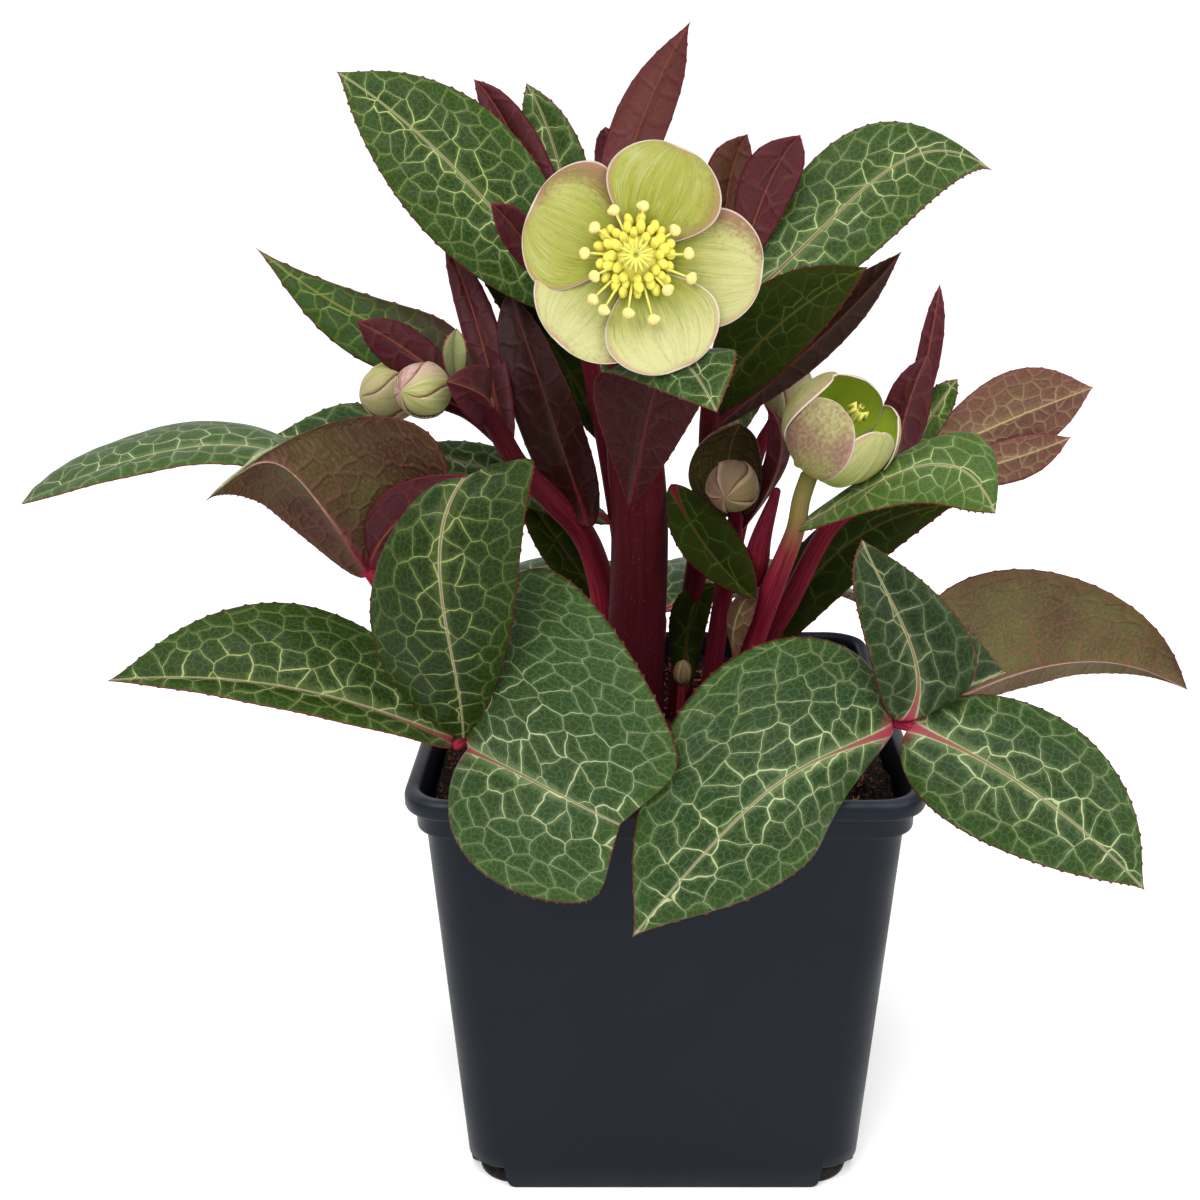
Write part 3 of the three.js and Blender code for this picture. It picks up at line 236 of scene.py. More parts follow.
class Finish:
    """A material under work: its tree, and short words for the nodes that it is wired from."""

    def __init__(self, name, roughness, specular):
        self.material = bpy.data.materials.new(name)
        self.material.use_nodes = True
        self.tree = self.material.node_tree
        self.shader = self.tree.nodes["Principled BSDF"]
        self.shader.inputs["Roughness"].default_value = roughness
        self.shader.inputs["Specular IOR Level"].default_value = specular

    def feed(self, socket, value):
        """Links an output to a socket, or sets the socket to a number or colour."""
        if isinstance(value, bpy.types.NodeSocket):
            self.tree.links.new(value, socket)
        else:
            socket.default_value = value

    def node(self, kind, **settings):
        """A shader node of a kind, with its settings."""
        made = self.tree.nodes.new("ShaderNode" + kind)
        for key, value in settings.items():
            setattr(made, key, value)
        return made

    def fact(self, name):
        """A vector attribute of the piece."""
        return self.node("Attribute", attribute_name=name).outputs["Vector"]

    def split(self, vector):
        """The three numbers of a vector."""
        parts = self.node("SeparateXYZ")
        self.feed(parts.inputs[0], vector)
        return parts.outputs

    def sum(self, operation, *values):
        """One step of arithmetic on numbers."""
        made = self.node("Math", operation=operation)
        for socket, value in zip(made.inputs, values):
            self.feed(socket, value)
        return made.outputs[0]

    def times(self, first, second):
        """One number times another."""
        return self.sum("MULTIPLY", first, second)

    def plus(self, first, second):
        """One number plus another."""
        return self.sum("ADD", first, second)

    def line(self, value, slope, start):
        """A value times a slope, plus a start."""
        return self.sum("MULTIPLY_ADD", value, slope, start)

    def paint(self, colour):
        """Gives the shader its colour."""
        self.feed(self.shader.inputs["Base Color"], colour)

    def vector(self, operation, *values, scale=None):
        """One step of arithmetic on vectors."""
        made = self.node("VectorMath", operation=operation)
        for socket, value in zip(made.inputs, values):
            self.feed(socket, value)
        if scale is not None:
            self.feed(made.inputs["Scale"], scale)
        return made.outputs["Vector"]

    def rise(self, value, low, high, start=0.0, end=1.0):
        """A smooth rise from start to end as the value goes from low to high."""
        made = self.node("MapRange", interpolation_type="SMOOTHSTEP")
        for key, number in (("Value", value), ("From Min", low), ("From Max", high),
                            ("To Min", start), ("To Max", end)):
            self.feed(made.inputs[key], number)
        return made.outputs["Result"]

    def mix(self, share, first, second):
        """A colour between two, by a share."""
        made = self.node("Mix", data_type="RGBA")
        self.feed(made.inputs["Factor"], share)
        self.feed(made.inputs[6], first)
        self.feed(made.inputs[7], second)
        return made.outputs[2]

    def noise(self, vector, scale, detail, roughness=0.5):
        """Cloudy noise: its scale is the number of clouds in one unit of the vector."""
        made = self.node("TexNoise")
        self.feed(made.inputs["Vector"], vector)
        made.inputs["Scale"].default_value = scale
        made.inputs["Detail"].default_value = detail
        made.inputs["Roughness"].default_value = roughness
        return made.outputs

    def cells(self, vector, feature="F1", randomness=1.0, dimensions="2D"):
        """Random cells, one unit of the vector apart."""
        made = self.node("TexVoronoi", feature=feature, voronoi_dimensions=dimensions)
        self.feed(made.inputs["Vector"], vector)
        made.inputs["Scale"].default_value = 1.0
        made.inputs["Randomness"].default_value = randomness
        return made.outputs

    def relief(self, height, strength, distance):
        """Bump from a height, which stands for a distance in metres."""
        made = self.node("Bump")
        made.inputs["Strength"].default_value = strength
        made.inputs["Distance"].default_value = distance
        self.feed(made.inputs["Height"], height)
        self.feed(self.shader.inputs["Normal"], made.outputs["Normal"])

    def place(self):
        """Object coordinates in millimetres."""
        return self.vector("SCALE", self.node("TexCoord").outputs["Object"], scale=1000.0)


def slate_plastic(name, low, high, grime):
    """Dark slate moulding: slow cloudy change of shade, a few pale dust specks, a fine satin grain
    that varies the gloss, a painted highlight along the top of the lip, and brown compost dust
    by a share."""
    work = Finish(name, roughness=0.42, specular=0.12)
    place = work.place()
    cloud = work.noise(place, 0.02, 3.0)["Fac"]
    shade = work.mix(cloud, tinted(*low), tinted(*high))
    height = work.split(place)[2]
    # Painted highlight: the top of the lip is mixed towards a paler slate, broken up by noise.
    painted_lip_highlight = work.times(work.rise(height, POT_HEIGHT - 1.4, POT_HEIGHT - 0.5),
                      work.noise(place, 0.3, 4.0)["Fac"])
    shade = work.mix(work.times(painted_lip_highlight, 0.5), shade, tinted(96, 104, 116))
    speck = work.cells(work.vector("SCALE", place, scale=0.075), dimensions="3D")
    chosen = work.sum("GREATER_THAN", work.split(speck["Color"])[0], 0.86)
    dot = work.times(work.rise(speck["Distance"], 0.014, 0.024, 0.3, 0.0), chosen)
    shade = work.mix(dot, shade, tinted(120, 124, 130))
    dust = work.times(work.rise(work.noise(place, 0.5, 5.0, 0.7)["Fac"], 0.52, 0.62), grime)
    work.paint(work.mix(dust, shade, tinted(92, 50, 34)))
    work.feed(work.shader.inputs["Roughness"],
              work.rise(work.noise(place, 0.05, 4.0)["Fac"], 0.3, 0.7, 0.36, 0.5))
    work.relief(work.noise(place, 2.2, 3.0)["Fac"], 0.1, 0.0002)
    return work.material


def body_half(z):
    """Half width of the tapered wall at a height, on a straight line from base to rim."""
    return BODY_BASE_HALF + (BODY_TOP_HALF - BODY_BASE_HALF) * z / POT_HEIGHT


SLATE = slate_plastic("slate_plastic", (14, 22, 32), (22, 30, 42), 0.0)
# The inset foot is the same plastic as the pot, painted near black as shade in its recess, with real brown
# compost dust on it.
FOOT_SLATE_IN_PAINTED_SHADE = slate_plastic("slate_foot_painted_shade", (10, 12, 15), (18, 21, 26), 0.5)
skirt = np.minimum(*np.abs((BODY_BASE_HALF - POT_CORNER) * SQUARE_MARKS + POT_CORNER * SQUARE_WAYS).T)
skirt_edge = np.interp(skirt, [0, 44.7, 45.7, 46.5, 47.0, 47.25, SKIRT_CUT_FROM, 60],
                       [0, 0, 0.3, 1.1, 2.4, 4.6, CORNER_LIFT, CORNER_LIFT])
wall = [(body_half(z), POT_CORNER, z) for z in (8.2, 12, 30, 60, 90, 112, 119.6)]
inner_wall = [(body_half(z) - POT_WALL, POT_CORNER - POT_WALL, z) for z in (118, 90, 50, PLINTH_HEIGHT)]
shell = square_rings([
    (30, 8, RECESS_TOP + 0.4),
    (BODY_BASE_HALF - POT_WALL - 0.3, POT_CORNER - POT_WALL, RECESS_TOP + 0.3),
    (BODY_BASE_HALF - POT_WALL, POT_CORNER - POT_WALL, np.minimum(skirt_edge + 0.3, RECESS_TOP + 0.1)),
    (BODY_BASE_HALF - POT_WALL + 0.3, POT_CORNER - POT_WALL, skirt_edge),
    (BODY_BASE_HALF - 0.5, POT_CORNER - 0.4, skirt_edge),
    (BODY_BASE_HALF, POT_CORNER, skirt_edge + 0.5),
    *wall,
    (body_half(120.6) + 0.1, POT_CORNER, 120.5), (body_half(121) + 0.5, POT_CORNER, 120.95),
    (BAND_HALF - 0.7, POT_CORNER, BAND_BASE), (BAND_HALF - 0.1, POT_CORNER, BAND_BASE + 0.35),
    (BAND_HALF, POT_CORNER, BAND_BASE + 0.9), (BAND_HALF, POT_CORNER, LIP_BASE - 1.0),
    (BAND_HALF + 0.25, POT_CORNER, LIP_BASE - 0.2), (BAND_HALF + 0.9, POT_CORNER + 0.2, LIP_BASE),
    (RIM_HALF - 1.1, POT_CORNER + 1.9, LIP_BASE), (RIM_HALF - 0.3, POT_CORNER + 2, LIP_BASE + 0.3),
    (RIM_HALF, POT_CORNER + 2, LIP_BASE + 1.1), (RIM_HALF, POT_CORNER + 2, POT_HEIGHT - 1.9),
    (RIM_HALF - 0.25, POT_CORNER + 1.9, POT_HEIGHT - 1.0),
    (RIM_HALF - 0.9, POT_CORNER + 1.5, POT_HEIGHT - 0.25),
    (RIM_HALF - 1.7, POT_CORNER + 1, POT_HEIGHT), (RIM_HALF - 3.2, POT_CORNER, POT_HEIGHT - 0.1),
    (RIM_HALF - 3.9, POT_CORNER - 0.6, POT_HEIGHT - 0.6),
    (RIM_HALF - 4.3, POT_CORNER - 1, POT_HEIGHT - 1.6),
    (BAND_HALF - 1.9, POT_CORNER - 1.4, BAND_BASE + 2),
    (BAND_HALF - 2.2, POT_CORNER - 1.5, BAND_BASE - 0.4),
    (body_half(119.8) - POT_WALL + 0.3, POT_CORNER - POT_WALL, 119.8),
    *inner_wall,
    (30, 8, PLINTH_HEIGHT - 0.1),
])
plinth_profile = (
    (PLINTH_HALF - 0.8, 0), (PLINTH_HALF - 0.15, 0.3), (PLINTH_HALF, 1.1),
    (PLINTH_HALF, SLOT_LOW - 0.05), (PLINTH_HALF, SLOT_LOW),
    (PLINTH_HALF, SLOT_HIGH), (PLINTH_HALF, SLOT_HIGH + 0.05), (PLINTH_HALF, RECESS_TOP + 0.5))
plinth = square_rings([(half, POT_CORNER, z) for half, z in plinth_profile])
slot_run = (np.abs(plinth[..., 0]) - np.abs(plinth[..., 1])) / math.sqrt(2)
slot_here = (np.abs(slot_run) < SLOT_HALF) & (np.minimum(*np.abs(SQUARE_MARKS).T) > 0.9)
slot_here[:4] = slot_here[6:] = False
plinth[..., :2] -= np.where(slot_here, SLOT_DEPTH / math.sqrt(2), 0)[..., None] * SQUARE_MARKS
add_piece("moulded_pot", ["pot"], [closed_rings(shell, SLATE), closed_rings(plinth, FOOT_SLATE_IN_PAINTED_SHADE)])

# The compost: black-brown peat and fine bark that fills the pot to a finger below the rim, with
# loose crumbs on top and curled red-brown coir fibres, and a little of it in the drain slots.
SOIL_TOP = 122.0
SOIL_INSET = 2.15
SOIL_RINGS = 70
CRUMBS = 520
CRUMB_SIZE = (0.5, 1.5)
FIBRES = 640
FIBRE_LENGTH = (2, 6.5)
FIBRE_RADIUS = (0.14, 0.38)
SCATTER_HALF = 58.0
HEAP_HEIGHT = 5.0
HEAP_WIDTH = 13.0
draw = np.random.default_rng(11)
SOIL_WAVES = [(draw.uniform(0.12, 1.6), draw.uniform(0, 2 * math.pi), draw.uniform(0, 2 * math.pi))
              for _ in range(40)]


def soil_height(x, y):
    """Sum of flat waves in many directions, the shorter the lower, over the level of the fill, which
    stands a little higher along the wall."""
    total = np.zeros_like(x)
    for pace, heading, phase in SOIL_WAVES:
        ahead = x * math.cos(heading) + y * math.sin(heading)
        total += np.cos(ahead * pace * 2 + phase) * 0.2 / (0.5 + pace)
    wall_gap = body_half(SOIL_TOP) - np.maximum(np.abs(x), np.abs(y))
    return SOIL_TOP + 0.4 + total + HEAP_HEIGHT * np.exp(-(wall_gap / HEAP_WIDTH) ** 2)


def peat():
    """Peat: near black, with red-brown grains of bark and wood in two sizes, and deep relief."""
    work = Finish("peat", roughness=0.95, specular=0.2)
    place = work.place()
    grain = work.cells(work.vector("SCALE", place, scale=0.85), dimensions="3D")
    pick = work.split(grain["Color"])
    lump = work.noise(place, 0.35, 6.0, 0.65)["Fac"]
    base = work.mix(lump, tinted(18, 11, 9), tinted(96, 58, 42))
    bark = work.mix(work.rise(pick[0], 0.66, 0.88), base, tinted(168, 92, 60))
    # Painted shade: the gaps between the grains, where the relief is lowest, are darkened to near black.
    work.paint(work.mix(work.rise(grain["Distance"], 0.25, 0.6), bark, tinted(10, 7, 6)))
    work.relief(work.sum("SUBTRACT", lump, grain["Distance"]), 0.9, 0.0012)
    return work.material


def coir():
    """Coir fibre: red-brown, lighter where it is worn, finely streaked."""
    work = Finish("coir", roughness=0.7, specular=0.35)
    wear = work.noise(work.place(), 0.8, 4.0)["Fac"]
    work.paint(work.mix(wear, tinted(120, 54, 34), tinted(240, 150, 108)))
    return work.material


PEAT = peat()
COIR = coir()
soil_out = np.linspace(0.01, 1, SOIL_RINGS)[:, None]
soil_flat = square_rings([(1, 0.18, 0)])[0, :, :2]
soil_half = body_half(SOIL_TOP) - SOIL_INSET
soil_xy = soil_out[..., None] * soil_flat * soil_half
soil_top = np.dstack([soil_xy, soil_height(soil_xy[..., 0], soil_xy[..., 1]) - 1.4 * soil_out ** 8])[::-1]
soil_sides = square_rings([
    (30, 8, SLOT_LOW + 0.4), (PLINTH_HALF - 4.2, POT_CORNER - 2.4, SLOT_LOW + 0.4),
    (PLINTH_HALF - 4.2, POT_CORNER - 2.4, PLINTH_HEIGHT + 0.4),
    (body_half(PLINTH_HEIGHT) - SOIL_INSET, POT_CORNER - SOIL_INSET, PLINTH_HEIGHT + 0.4),
    (body_half(110) - SOIL_INSET, POT_CORNER - SOIL_INSET, 110)])
soil_parts = [closed_rings(np.concatenate([soil_sides, soil_top]), PEAT)]


def scattered(count):
    """Places spread evenly over the compost, on its surface."""
    x, y = draw.uniform(-SCATTER_HALF, SCATTER_HALF, (2, count))
    return np.stack([x, y, soil_height(x, y)], -1)


def crumb_parts(count):
    """Crumbs: balls of five rings, each squashed and knocked about at random."""
    polar = np.linspace(0.35, math.pi - 0.35, 5)[:, None]
    turn = circle(6)[None]
    ball = np.stack([np.sin(polar) * np.cos(turn), np.sin(polar) * np.sin(turn),
                     -np.cos(polar) + 0 * turn], -1)
    parts = []
    for place in scattered(count):
        size = draw.uniform(*CRUMB_SIZE) * draw.uniform(0.7, 1.3, 3)
        rough = 1 + draw.uniform(-0.22, 0.22, ball.shape[:2])[..., None]
        parts.append(closed_rings(ball * rough * size + place, PEAT))
    return parts


def ring_ways(turn, first, second):
    """Directions round a path: cosine of the turn times one crossways direction plus sine of the
    turn times the other, for each point of the path."""
    return np.cos(turn)[None, :, None] * first[:, None] + np.sin(turn)[None, :, None] * second[:, None]


def fibre_parts(count):
    """Fibres: thin four-sided tubes along a flat arc that curls up at its ends."""
    along = np.linspace(-1, 1, 9)
    parts = []
    for place in scattered(count):
        length, curl, lift = draw.uniform(*FIBRE_LENGTH), draw.uniform(-1.6, 1.6), draw.uniform(0.1, 1.5)
        heading, phase = draw.uniform(0, 2 * math.pi, 2)
        bend = heading + curl * along + 0.5 * np.sin(3 * along + phase)
        step = length / 8
        line = np.cumsum(np.stack([np.cos(bend), np.sin(bend)], -1) * step, 0)
        line -= line[4]
        height = lift * along ** 2 + 0.35 * np.sin(2.6 * along + phase) + 0.25
        middle = place + np.column_stack([line, height])
        radius = draw.uniform(*FIBRE_RADIUS) * (1 - 0.75 * along ** 4)
        side = np.column_stack([-np.sin(bend), np.cos(bend), 0 * bend])
        rings = middle[:, None] + radius[:, None, None] * ring_ways(circle(4), side, np.array([[0, 0, 1]]))
        parts.append(closed_rings(rings, COIR))
    return parts


add_piece("compost", ["soil"], soil_parts + crumb_parts(CRUMBS) + fibre_parts(FIBRES))

# The leaf stalks: round fleshy stems of pink to crimson tissue that rise from the crown under
# the compost and carry the leaves at the side. Fine streaks run along them.
STEM_STEP = 1.6


def curve_through(path, count):
    """Points at even distances along the smooth line through a path, its directions and the
    distances. Between two path points the line is the Catmull-Rom cubic of them and their
    neighbours."""
    path = np.array(path, float)
    padded = np.concatenate([[2 * path[0] - path[1]], path, [2 * path[-1] - path[-2]]])
    t = np.linspace(0, 1, 24, endpoint=False)[None, :, None]
    a, b, c, d = (padded[k:len(padded) - 3 + k][:, None] for k in range(4))
    line = 0.5 * (2 * b + (c - a) * t + (2 * a - 5 * b + 4 * c - d) * t ** 2
                  + (3 * b - a - 3 * c + d) * t ** 3)
    line = np.concatenate([line.reshape(-1, 3), path[-1:]])
    run = np.concatenate([[0], np.cumsum(np.linalg.norm(np.diff(line, axis=0), axis=1))])
    even = np.linspace(0, run[-1], count)
    points = np.stack([np.interp(even, run, line[:, axis]) for axis in range(3)], -1)
    ways = np.gradient(points, axis=0)
    return points, ways / np.linalg.norm(ways, axis=1, keepdims=True), even


def triples(first, second, third):
    """Three numbers for each point of a grid, each worked out over rows, columns or both."""
    return np.stack(np.broadcast_arrays(first, second, third), -1)


def stem_tube(path, radii, skin, tones=(0.0, 0.0), greens=(0.0, 0.0), sides=22, seed=0):
    """A round stem carried along the curve through a path. Its radius runs through the given ones
    and has shallow ribs. Both ends are rounded off."""
    length = np.linalg.norm(np.diff(np.array(path, float), axis=0), axis=1).sum()
    count = max(int(length / STEM_STEP), 8)
    points, ways, run = curve_through(path, count)
    share = np.linspace(0, 1, count)

    def along_stem(values):
        """Values given at even steps along the stem, read off at each ring."""
        return np.interp(share, np.linspace(0, 1, len(values)), values)

    radius = along_stem(radii)
    reference = np.eye(3)[np.argmin(np.abs(ways).max(0))]
    first = np.cross(ways, reference)
    first /= np.linalg.norm(first, axis=1, keepdims=True)
    second = np.cross(ways, first)
    turn = circle(sides)
    ribs = 1 + 0.02 * np.sin(3 * turn + seed)[None] + 0.012 * np.sin(7 * turn[None] + run[:, None] * 0.05)
    rings = points[:, None] + (radius[:, None] * ribs)[..., None] * ring_ways(turn, first, second)
    facts = {"spread": triples(run[:, None] + seed * 31.7, radius[:, None] * np.cos(turn),
                               radius[:, None] * np.sin(turn)),
             "share": triples(share[:, None], turn[None], 0.0),
             "tone": triples(along_stem(tones)[:, None], along_stem(greens)[:, None], 0 * turn)}
    foot, head = rings[0] - points[0], rings[-1] - points[-1]
    for out, thin in ((0.33, 0.75), (0.54, 0.35)):
        low = points[0] + foot * thin - ways[0] * radius[0] * out
        high = points[-1] + head * thin + ways[-1] * radius[-1] * out
        rings = np.concatenate([low[None], rings, high[None]])
        facts = {name: np.concatenate([fact[:1], fact, fact[-1:]]) for name, fact in facts.items()}
    return closed_rings(rings, skin, **facts)


def stem_skin():
    """Stem tissue: dark maroon turning to crimson by tone and to olive green by greenness, with
    long fine streaks, pale pores and a soft waxy gloss."""
    work = Finish("stem_skin", roughness=0.55, specular=0.02)
    spread, tone = work.fact("spread"), work.split(work.fact("tone"))
    long = work.vector("MULTIPLY", spread, (0.05, 1.5, 1.5))
    streak = work.noise(long, 1.0, 5.0, 0.6)["Fac"]
    cloud = work.noise(work.vector("MULTIPLY", spread, (0.05, 0.2, 0.2)), 1.0, 3.0)["Fac"]
    dark = work.mix(streak, tinted(50, 14, 20), tinted(104, 34, 42))
    bright = work.mix(work.rise(streak, 0.15, 0.85), tinted(126, 14, 40), tinted(204, 66, 90))
    red = work.mix(work.rise(work.plus(tone[0], work.times(cloud, 0.3)), 0.1, 1.2), dark, bright)
    green = work.mix(streak, tinted(124, 118, 58), tinted(176, 172, 100))
    body = work.mix(tone[1], red, green)
    pore = work.cells(work.vector("MULTIPLY", spread, (0.35, 1.0, 1.0)), dimensions="3D")
    speck = work.rise(pore["Distance"], 0.07, 0.15, 0.5, 0.0)
    work.paint(work.mix(speck, body, tinted(170, 96, 92)))
    work.relief(streak, 0.3, 0.0004)
    return work.material


STEM_SKIN = stem_skin()
# The points and the radii of each stalk.
LEAF_STALKS = {
    "stalk_west": ([(-22, -12, 104), (-26, -18, 130), (-41, -36, 145), (-57, -60, 145)],
                   [2.6, 2.5, 2.4, 1.4]),
    "stalk_high": ([(-30, 4, 104), (-36, 0, 132), (-58, -9, 154), (-77, -22, 173), (-84, -27, 185)],
                   [2.6, 2.5, 2.4, 2.2, 2.2]),
    "stalk_east": ([(10, -16, 104), (18, -22, 134), (44, -40, 149), (66.6, -58.6, 150)],
                   [2.6, 2.5, 2.4, 1.5]),
    "stalk_rear": ([(-2, 36, 104), (-2, 42, 126), (0, 58, 139), (0, 66, 140)],
                   [2.6, 2.5, 2.3, 2.2]),
}
for number, (node, (path, radii)) in enumerate(LEAF_STALKS.items()):
    tube = stem_tube(path, radii, STEM_SKIN, tones=(0.5, 0.75, 0.95), seed=number + 1)
    add_piece(node + "_fleshy", [node], [tube])

# The leaves: leathery blades with a sunken midrib, a saw-toothed red-brown margin and a cream net of
# veins on dark green. The underside is bronze to maroon with raised veins. Each grows in one
# piece out of its stalk, where its midrib is thick and pink.
# The net of veins is measured in cells of one pitch. Side veins stand a number of cells apart and
# lean forwards by a share of their way out, and by more the further out they are.
NET_PITCH = 7.4
VEIN_LEAN = 0.75
VEIN_CURL = 0.05
BAND_CELLS = 1.9
# Lines of points across half a blade, as parts of the way from the rib to the edge. They are
# closest at the rib, which is narrow.
HALF_LINES = {
    "big": np.array([0, .012, .03, .055, .09, .14, .2, .27, .35, .44, .53, .62, .71, .79, .86, .92,
                     .965, 1]),
    "middle": np.array([0, .02, .05, .1, .17, .26, .37, .49, .62, .74, .85, .94, 1]),
    "small": np.array([0, .04, .1, .2, .34, .5, .68, .86, 1]),
}
LEAF_ROWS = {"big": 132, "middle": 84, "small": 48}


def unit(vectors):
    """Vectors divided by their lengths."""
    return vectors / np.linalg.norm(vectors, axis=-1, keepdims=True)


def rib_line(points, u):
    """Line through equally spaced points: each weighted by its own Lagrange polynomial in u."""
    points = np.array(points, float)
    last = len(points) - 1
    total = 0
    for i, point in enumerate(points):
        weight = np.prod([(u * last - j) / (i - j) for j in range(last + 1) if j != i], axis=0)
        total = total + weight[..., None] * point
    return total


def vein_net(s, t, pitch):
    """Place of a point in the net of veins, in cells, along the rib and out from it. Cells shrink
    towards the margin."""
    reach = np.abs(t) * (1 + 0.012 * np.abs(t))
    return s / (NET_PITCH * pitch), np.sign(t) * reach / (NET_PITCH * pitch)


def edge_teeth(rows, cols, size, seed):
    """Single teeth of random height on both edges of a blade, four to seven rows apart."""
    pick = np.random.default_rng(1000 + seed)
    spikes = np.zeros((rows, cols))
    for edge in (0, -1):
        spots = np.cumsum(pick.integers(4, 8, rows))
        spots = spots[spots < rows - 3]
        spikes[spots, edge] = pick.uniform(0.5, 1.0, len(spots)) * size
    return spikes


def two_faced(middle, upper, under, skins, facts):
    """A closed thin body from an upper and an under grid. Both faces share the border points of the
    middle grid, so the under one adds only its inner points. Facts are attributes of the grid."""
    rows, cols = middle.shape[:2]
    upper[[0, -1]] = middle[[0, -1]]
    upper[:, [0, -1]] = middle[:, [0, -1]]
    top = np.arange(rows * cols).reshape(rows, cols)
    low = top.copy()
    low[1:-1, 1:-1] = rows * cols + np.arange((rows - 2) * (cols - 2)).reshape(rows - 2, cols - 2)
    faces = [np.stack([grid[:-1, :-1], grid[:-1, 1:], grid[1:, 1:], grid[1:, :-1]], -1).reshape(-1, 4)
             for grid in (top, low)]
    part = {"quads": np.concatenate([faces[0], faces[1][:, ::-1]]), "fans": np.zeros((0, 3), int),
            "skins": [(skin, len(face), 0) for skin, face in zip(skins, faces)],
            "co": np.concatenate([upper.reshape(-1, 3), under[1:-1, 1:-1].reshape(-1, 3)])}
    for name, value in facts.items():
        part[name] = np.concatenate([value.reshape(-1, 3), value[1:-1, 1:-1].reshape(-1, 3)])
    return part


def leaf_sheet(rib, left, right, skins, widest=0.45, full=(0.7, 0.8), bulge=0.08, size="big",
               tone=0.3, bronze=0.3, pale=0.0, flush=1.0, pitch=1.0, flow=1, teeth=0.42, thick=0.6,
               ripple=0.25, quilt=0.22, point=0.35, seed=0):
    """A blade: rib point plus v times the way to its edge times a skewed sine of u, plus a bulge of
    each half, a groove along the rib, puffs between the side veins and single teeth on the edge.
    The way to the left and to the right edge is given at the rib's first and last point, or once
    for both. Widest is where along the rib the blade is widest. Full is the power of the sine at
    the first and the last point, the lower the blunter, and point draws the tip out. Flow is -1
    where the rib runs from the tip to the stalk. Tone, bronze, pale and flush colour the skins."""
    rows, lines = LEAF_ROWS[size], HALF_LINES[size]
    x = np.linspace(0, 1, rows)
    u = (0.6 * x + 0.4 * (0.5 - 0.5 * np.cos(math.pi * x)))[:, None]
    v = np.concatenate([-lines[:0:-1], lines])[None]
    reach = np.abs(v)
    spine = rib_line(rib, u)
    along = rib_line(rib, u + 0.01) - rib_line(rib, u - 0.01)
    left, right = (np.broadcast_to(np.array(way, float), (2, 3)) for way in (left, right))
    to_left = left[0] + (left[1] - left[0]) * u[..., None]
    to_right = right[0] + (right[1] - right[0]) * u[..., None]
    left_up, right_up = unit(np.cross(along, to_left)), unit(np.cross(to_right, along))
    turn = ((v + 1) / 2)[..., None]
    upward = unit(left_up * (1 - turn) + right_up * turn)
    along = unit(along)
    way = np.where(v[..., None] < 0, to_left, to_right)
    width = np.linalg.norm(way, axis=-1)
    skew = math.log(0.5) / math.log(widest)
    toward = u if flow > 0 else 1 - u
    power = full[0] + (full[1] - full[0]) * u + point * toward ** 9
    arch = np.maximum(np.sin(math.pi * u ** skew), 0) ** power
    share = np.maximum(arch, 0.004)
    across = reach * share * width
    run = np.concatenate([[0], np.cumsum(np.linalg.norm(np.diff(spine[:, 0], axis=0), axis=1))])[:, None]
    length = run[-1, 0]
    offset = way * (reach * share)[..., None]
    forward = (offset * along).sum(-1)
    side = np.linalg.norm(offset - forward[..., None] * along, axis=-1)
    s, t = run + forward, side * np.sign(v)
    s = s if flow > 0 else length - s
    net_along, net_out = vein_net(s, t, pitch)
    net_along = net_along + seed * 3.37
    band = (net_along - np.abs(net_out) * (VEIN_LEAN + VEIN_CURL * np.abs(net_out)) + (t > 0)) / BAND_CELLS
    phase = seed * 1.7
    puff = -np.cos(2 * math.pi * band) * np.clip(across / 5, 0, 1) * (1 - reach ** 4)
    wave = np.sin(s * 0.11 + phase) + 0.6 * np.sin(s * 0.23 + 2.1 * np.sign(v) + phase)
    belly = bulge * 4 * reach * (1 - reach) * width * share
    lift = belly + quilt * puff + ripple * reach ** 3 * wave * arch
    spikes = edge_teeth(rows, len(lines) * 2 - 1, teeth, seed) * np.clip(arch * 4, 0, 1)
    tooth_way = unit(way) + 0.7 * flow * along
    middle = spine + offset + upward * lift[..., None] + tooth_way * spikes[..., None]
    ends = np.clip(arch * 3, 0, 1)
    half = 0.5 * thick * (1 - 0.45 * reach ** 4) * (0.3 + 0.7 * ends)
    foot = np.exp(-toward / 0.07)
    bell = np.exp(-(across / (0.75 + 1.2 * foot)) ** 2)
    crest = (0.9 * foot * flush - 0.3 * (1 - 0.5 * toward)) * bell * ends
    keel = (0.35 + 0.8 * (1 - toward)) * np.exp(-(across / 0.9) ** 2) * ends
    upper = middle + upward * (half + crest)[..., None]
    under = middle - upward * (half + keel)[..., None]
    margin = np.minimum((1 - reach) * share * width, (1 - toward) * length) - spikes
    facts = {"spread": triples(s + 41.3 * (seed + 1), t, 0.0),
             "share": triples(toward, v, margin),
             "tone": np.broadcast_to(np.array([tone, bronze, flush]), middle.shape),
             "net": triples(net_along, net_out, pale)}
    return two_faced(middle, upper, under, skins, facts)


def cell_band(work, position):
    """Number of the band of cells, between two side veins, that a cell belongs to by the place of
    its middle: its way along the rib less a lean that grows with its way out, in whole bands."""
    along, out, _ = work.split(position)
    far = work.sum("ABSOLUTE", out)
    lean = work.times(far, work.line(far, VEIN_CURL, VEIN_LEAN))
    start = work.plus(along, work.sum("GREATER_THAN", out, 0.0))
    return work.sum("FLOOR", work.sum("DIVIDE", work.sum("SUBTRACT", start, lean), BAND_CELLS))


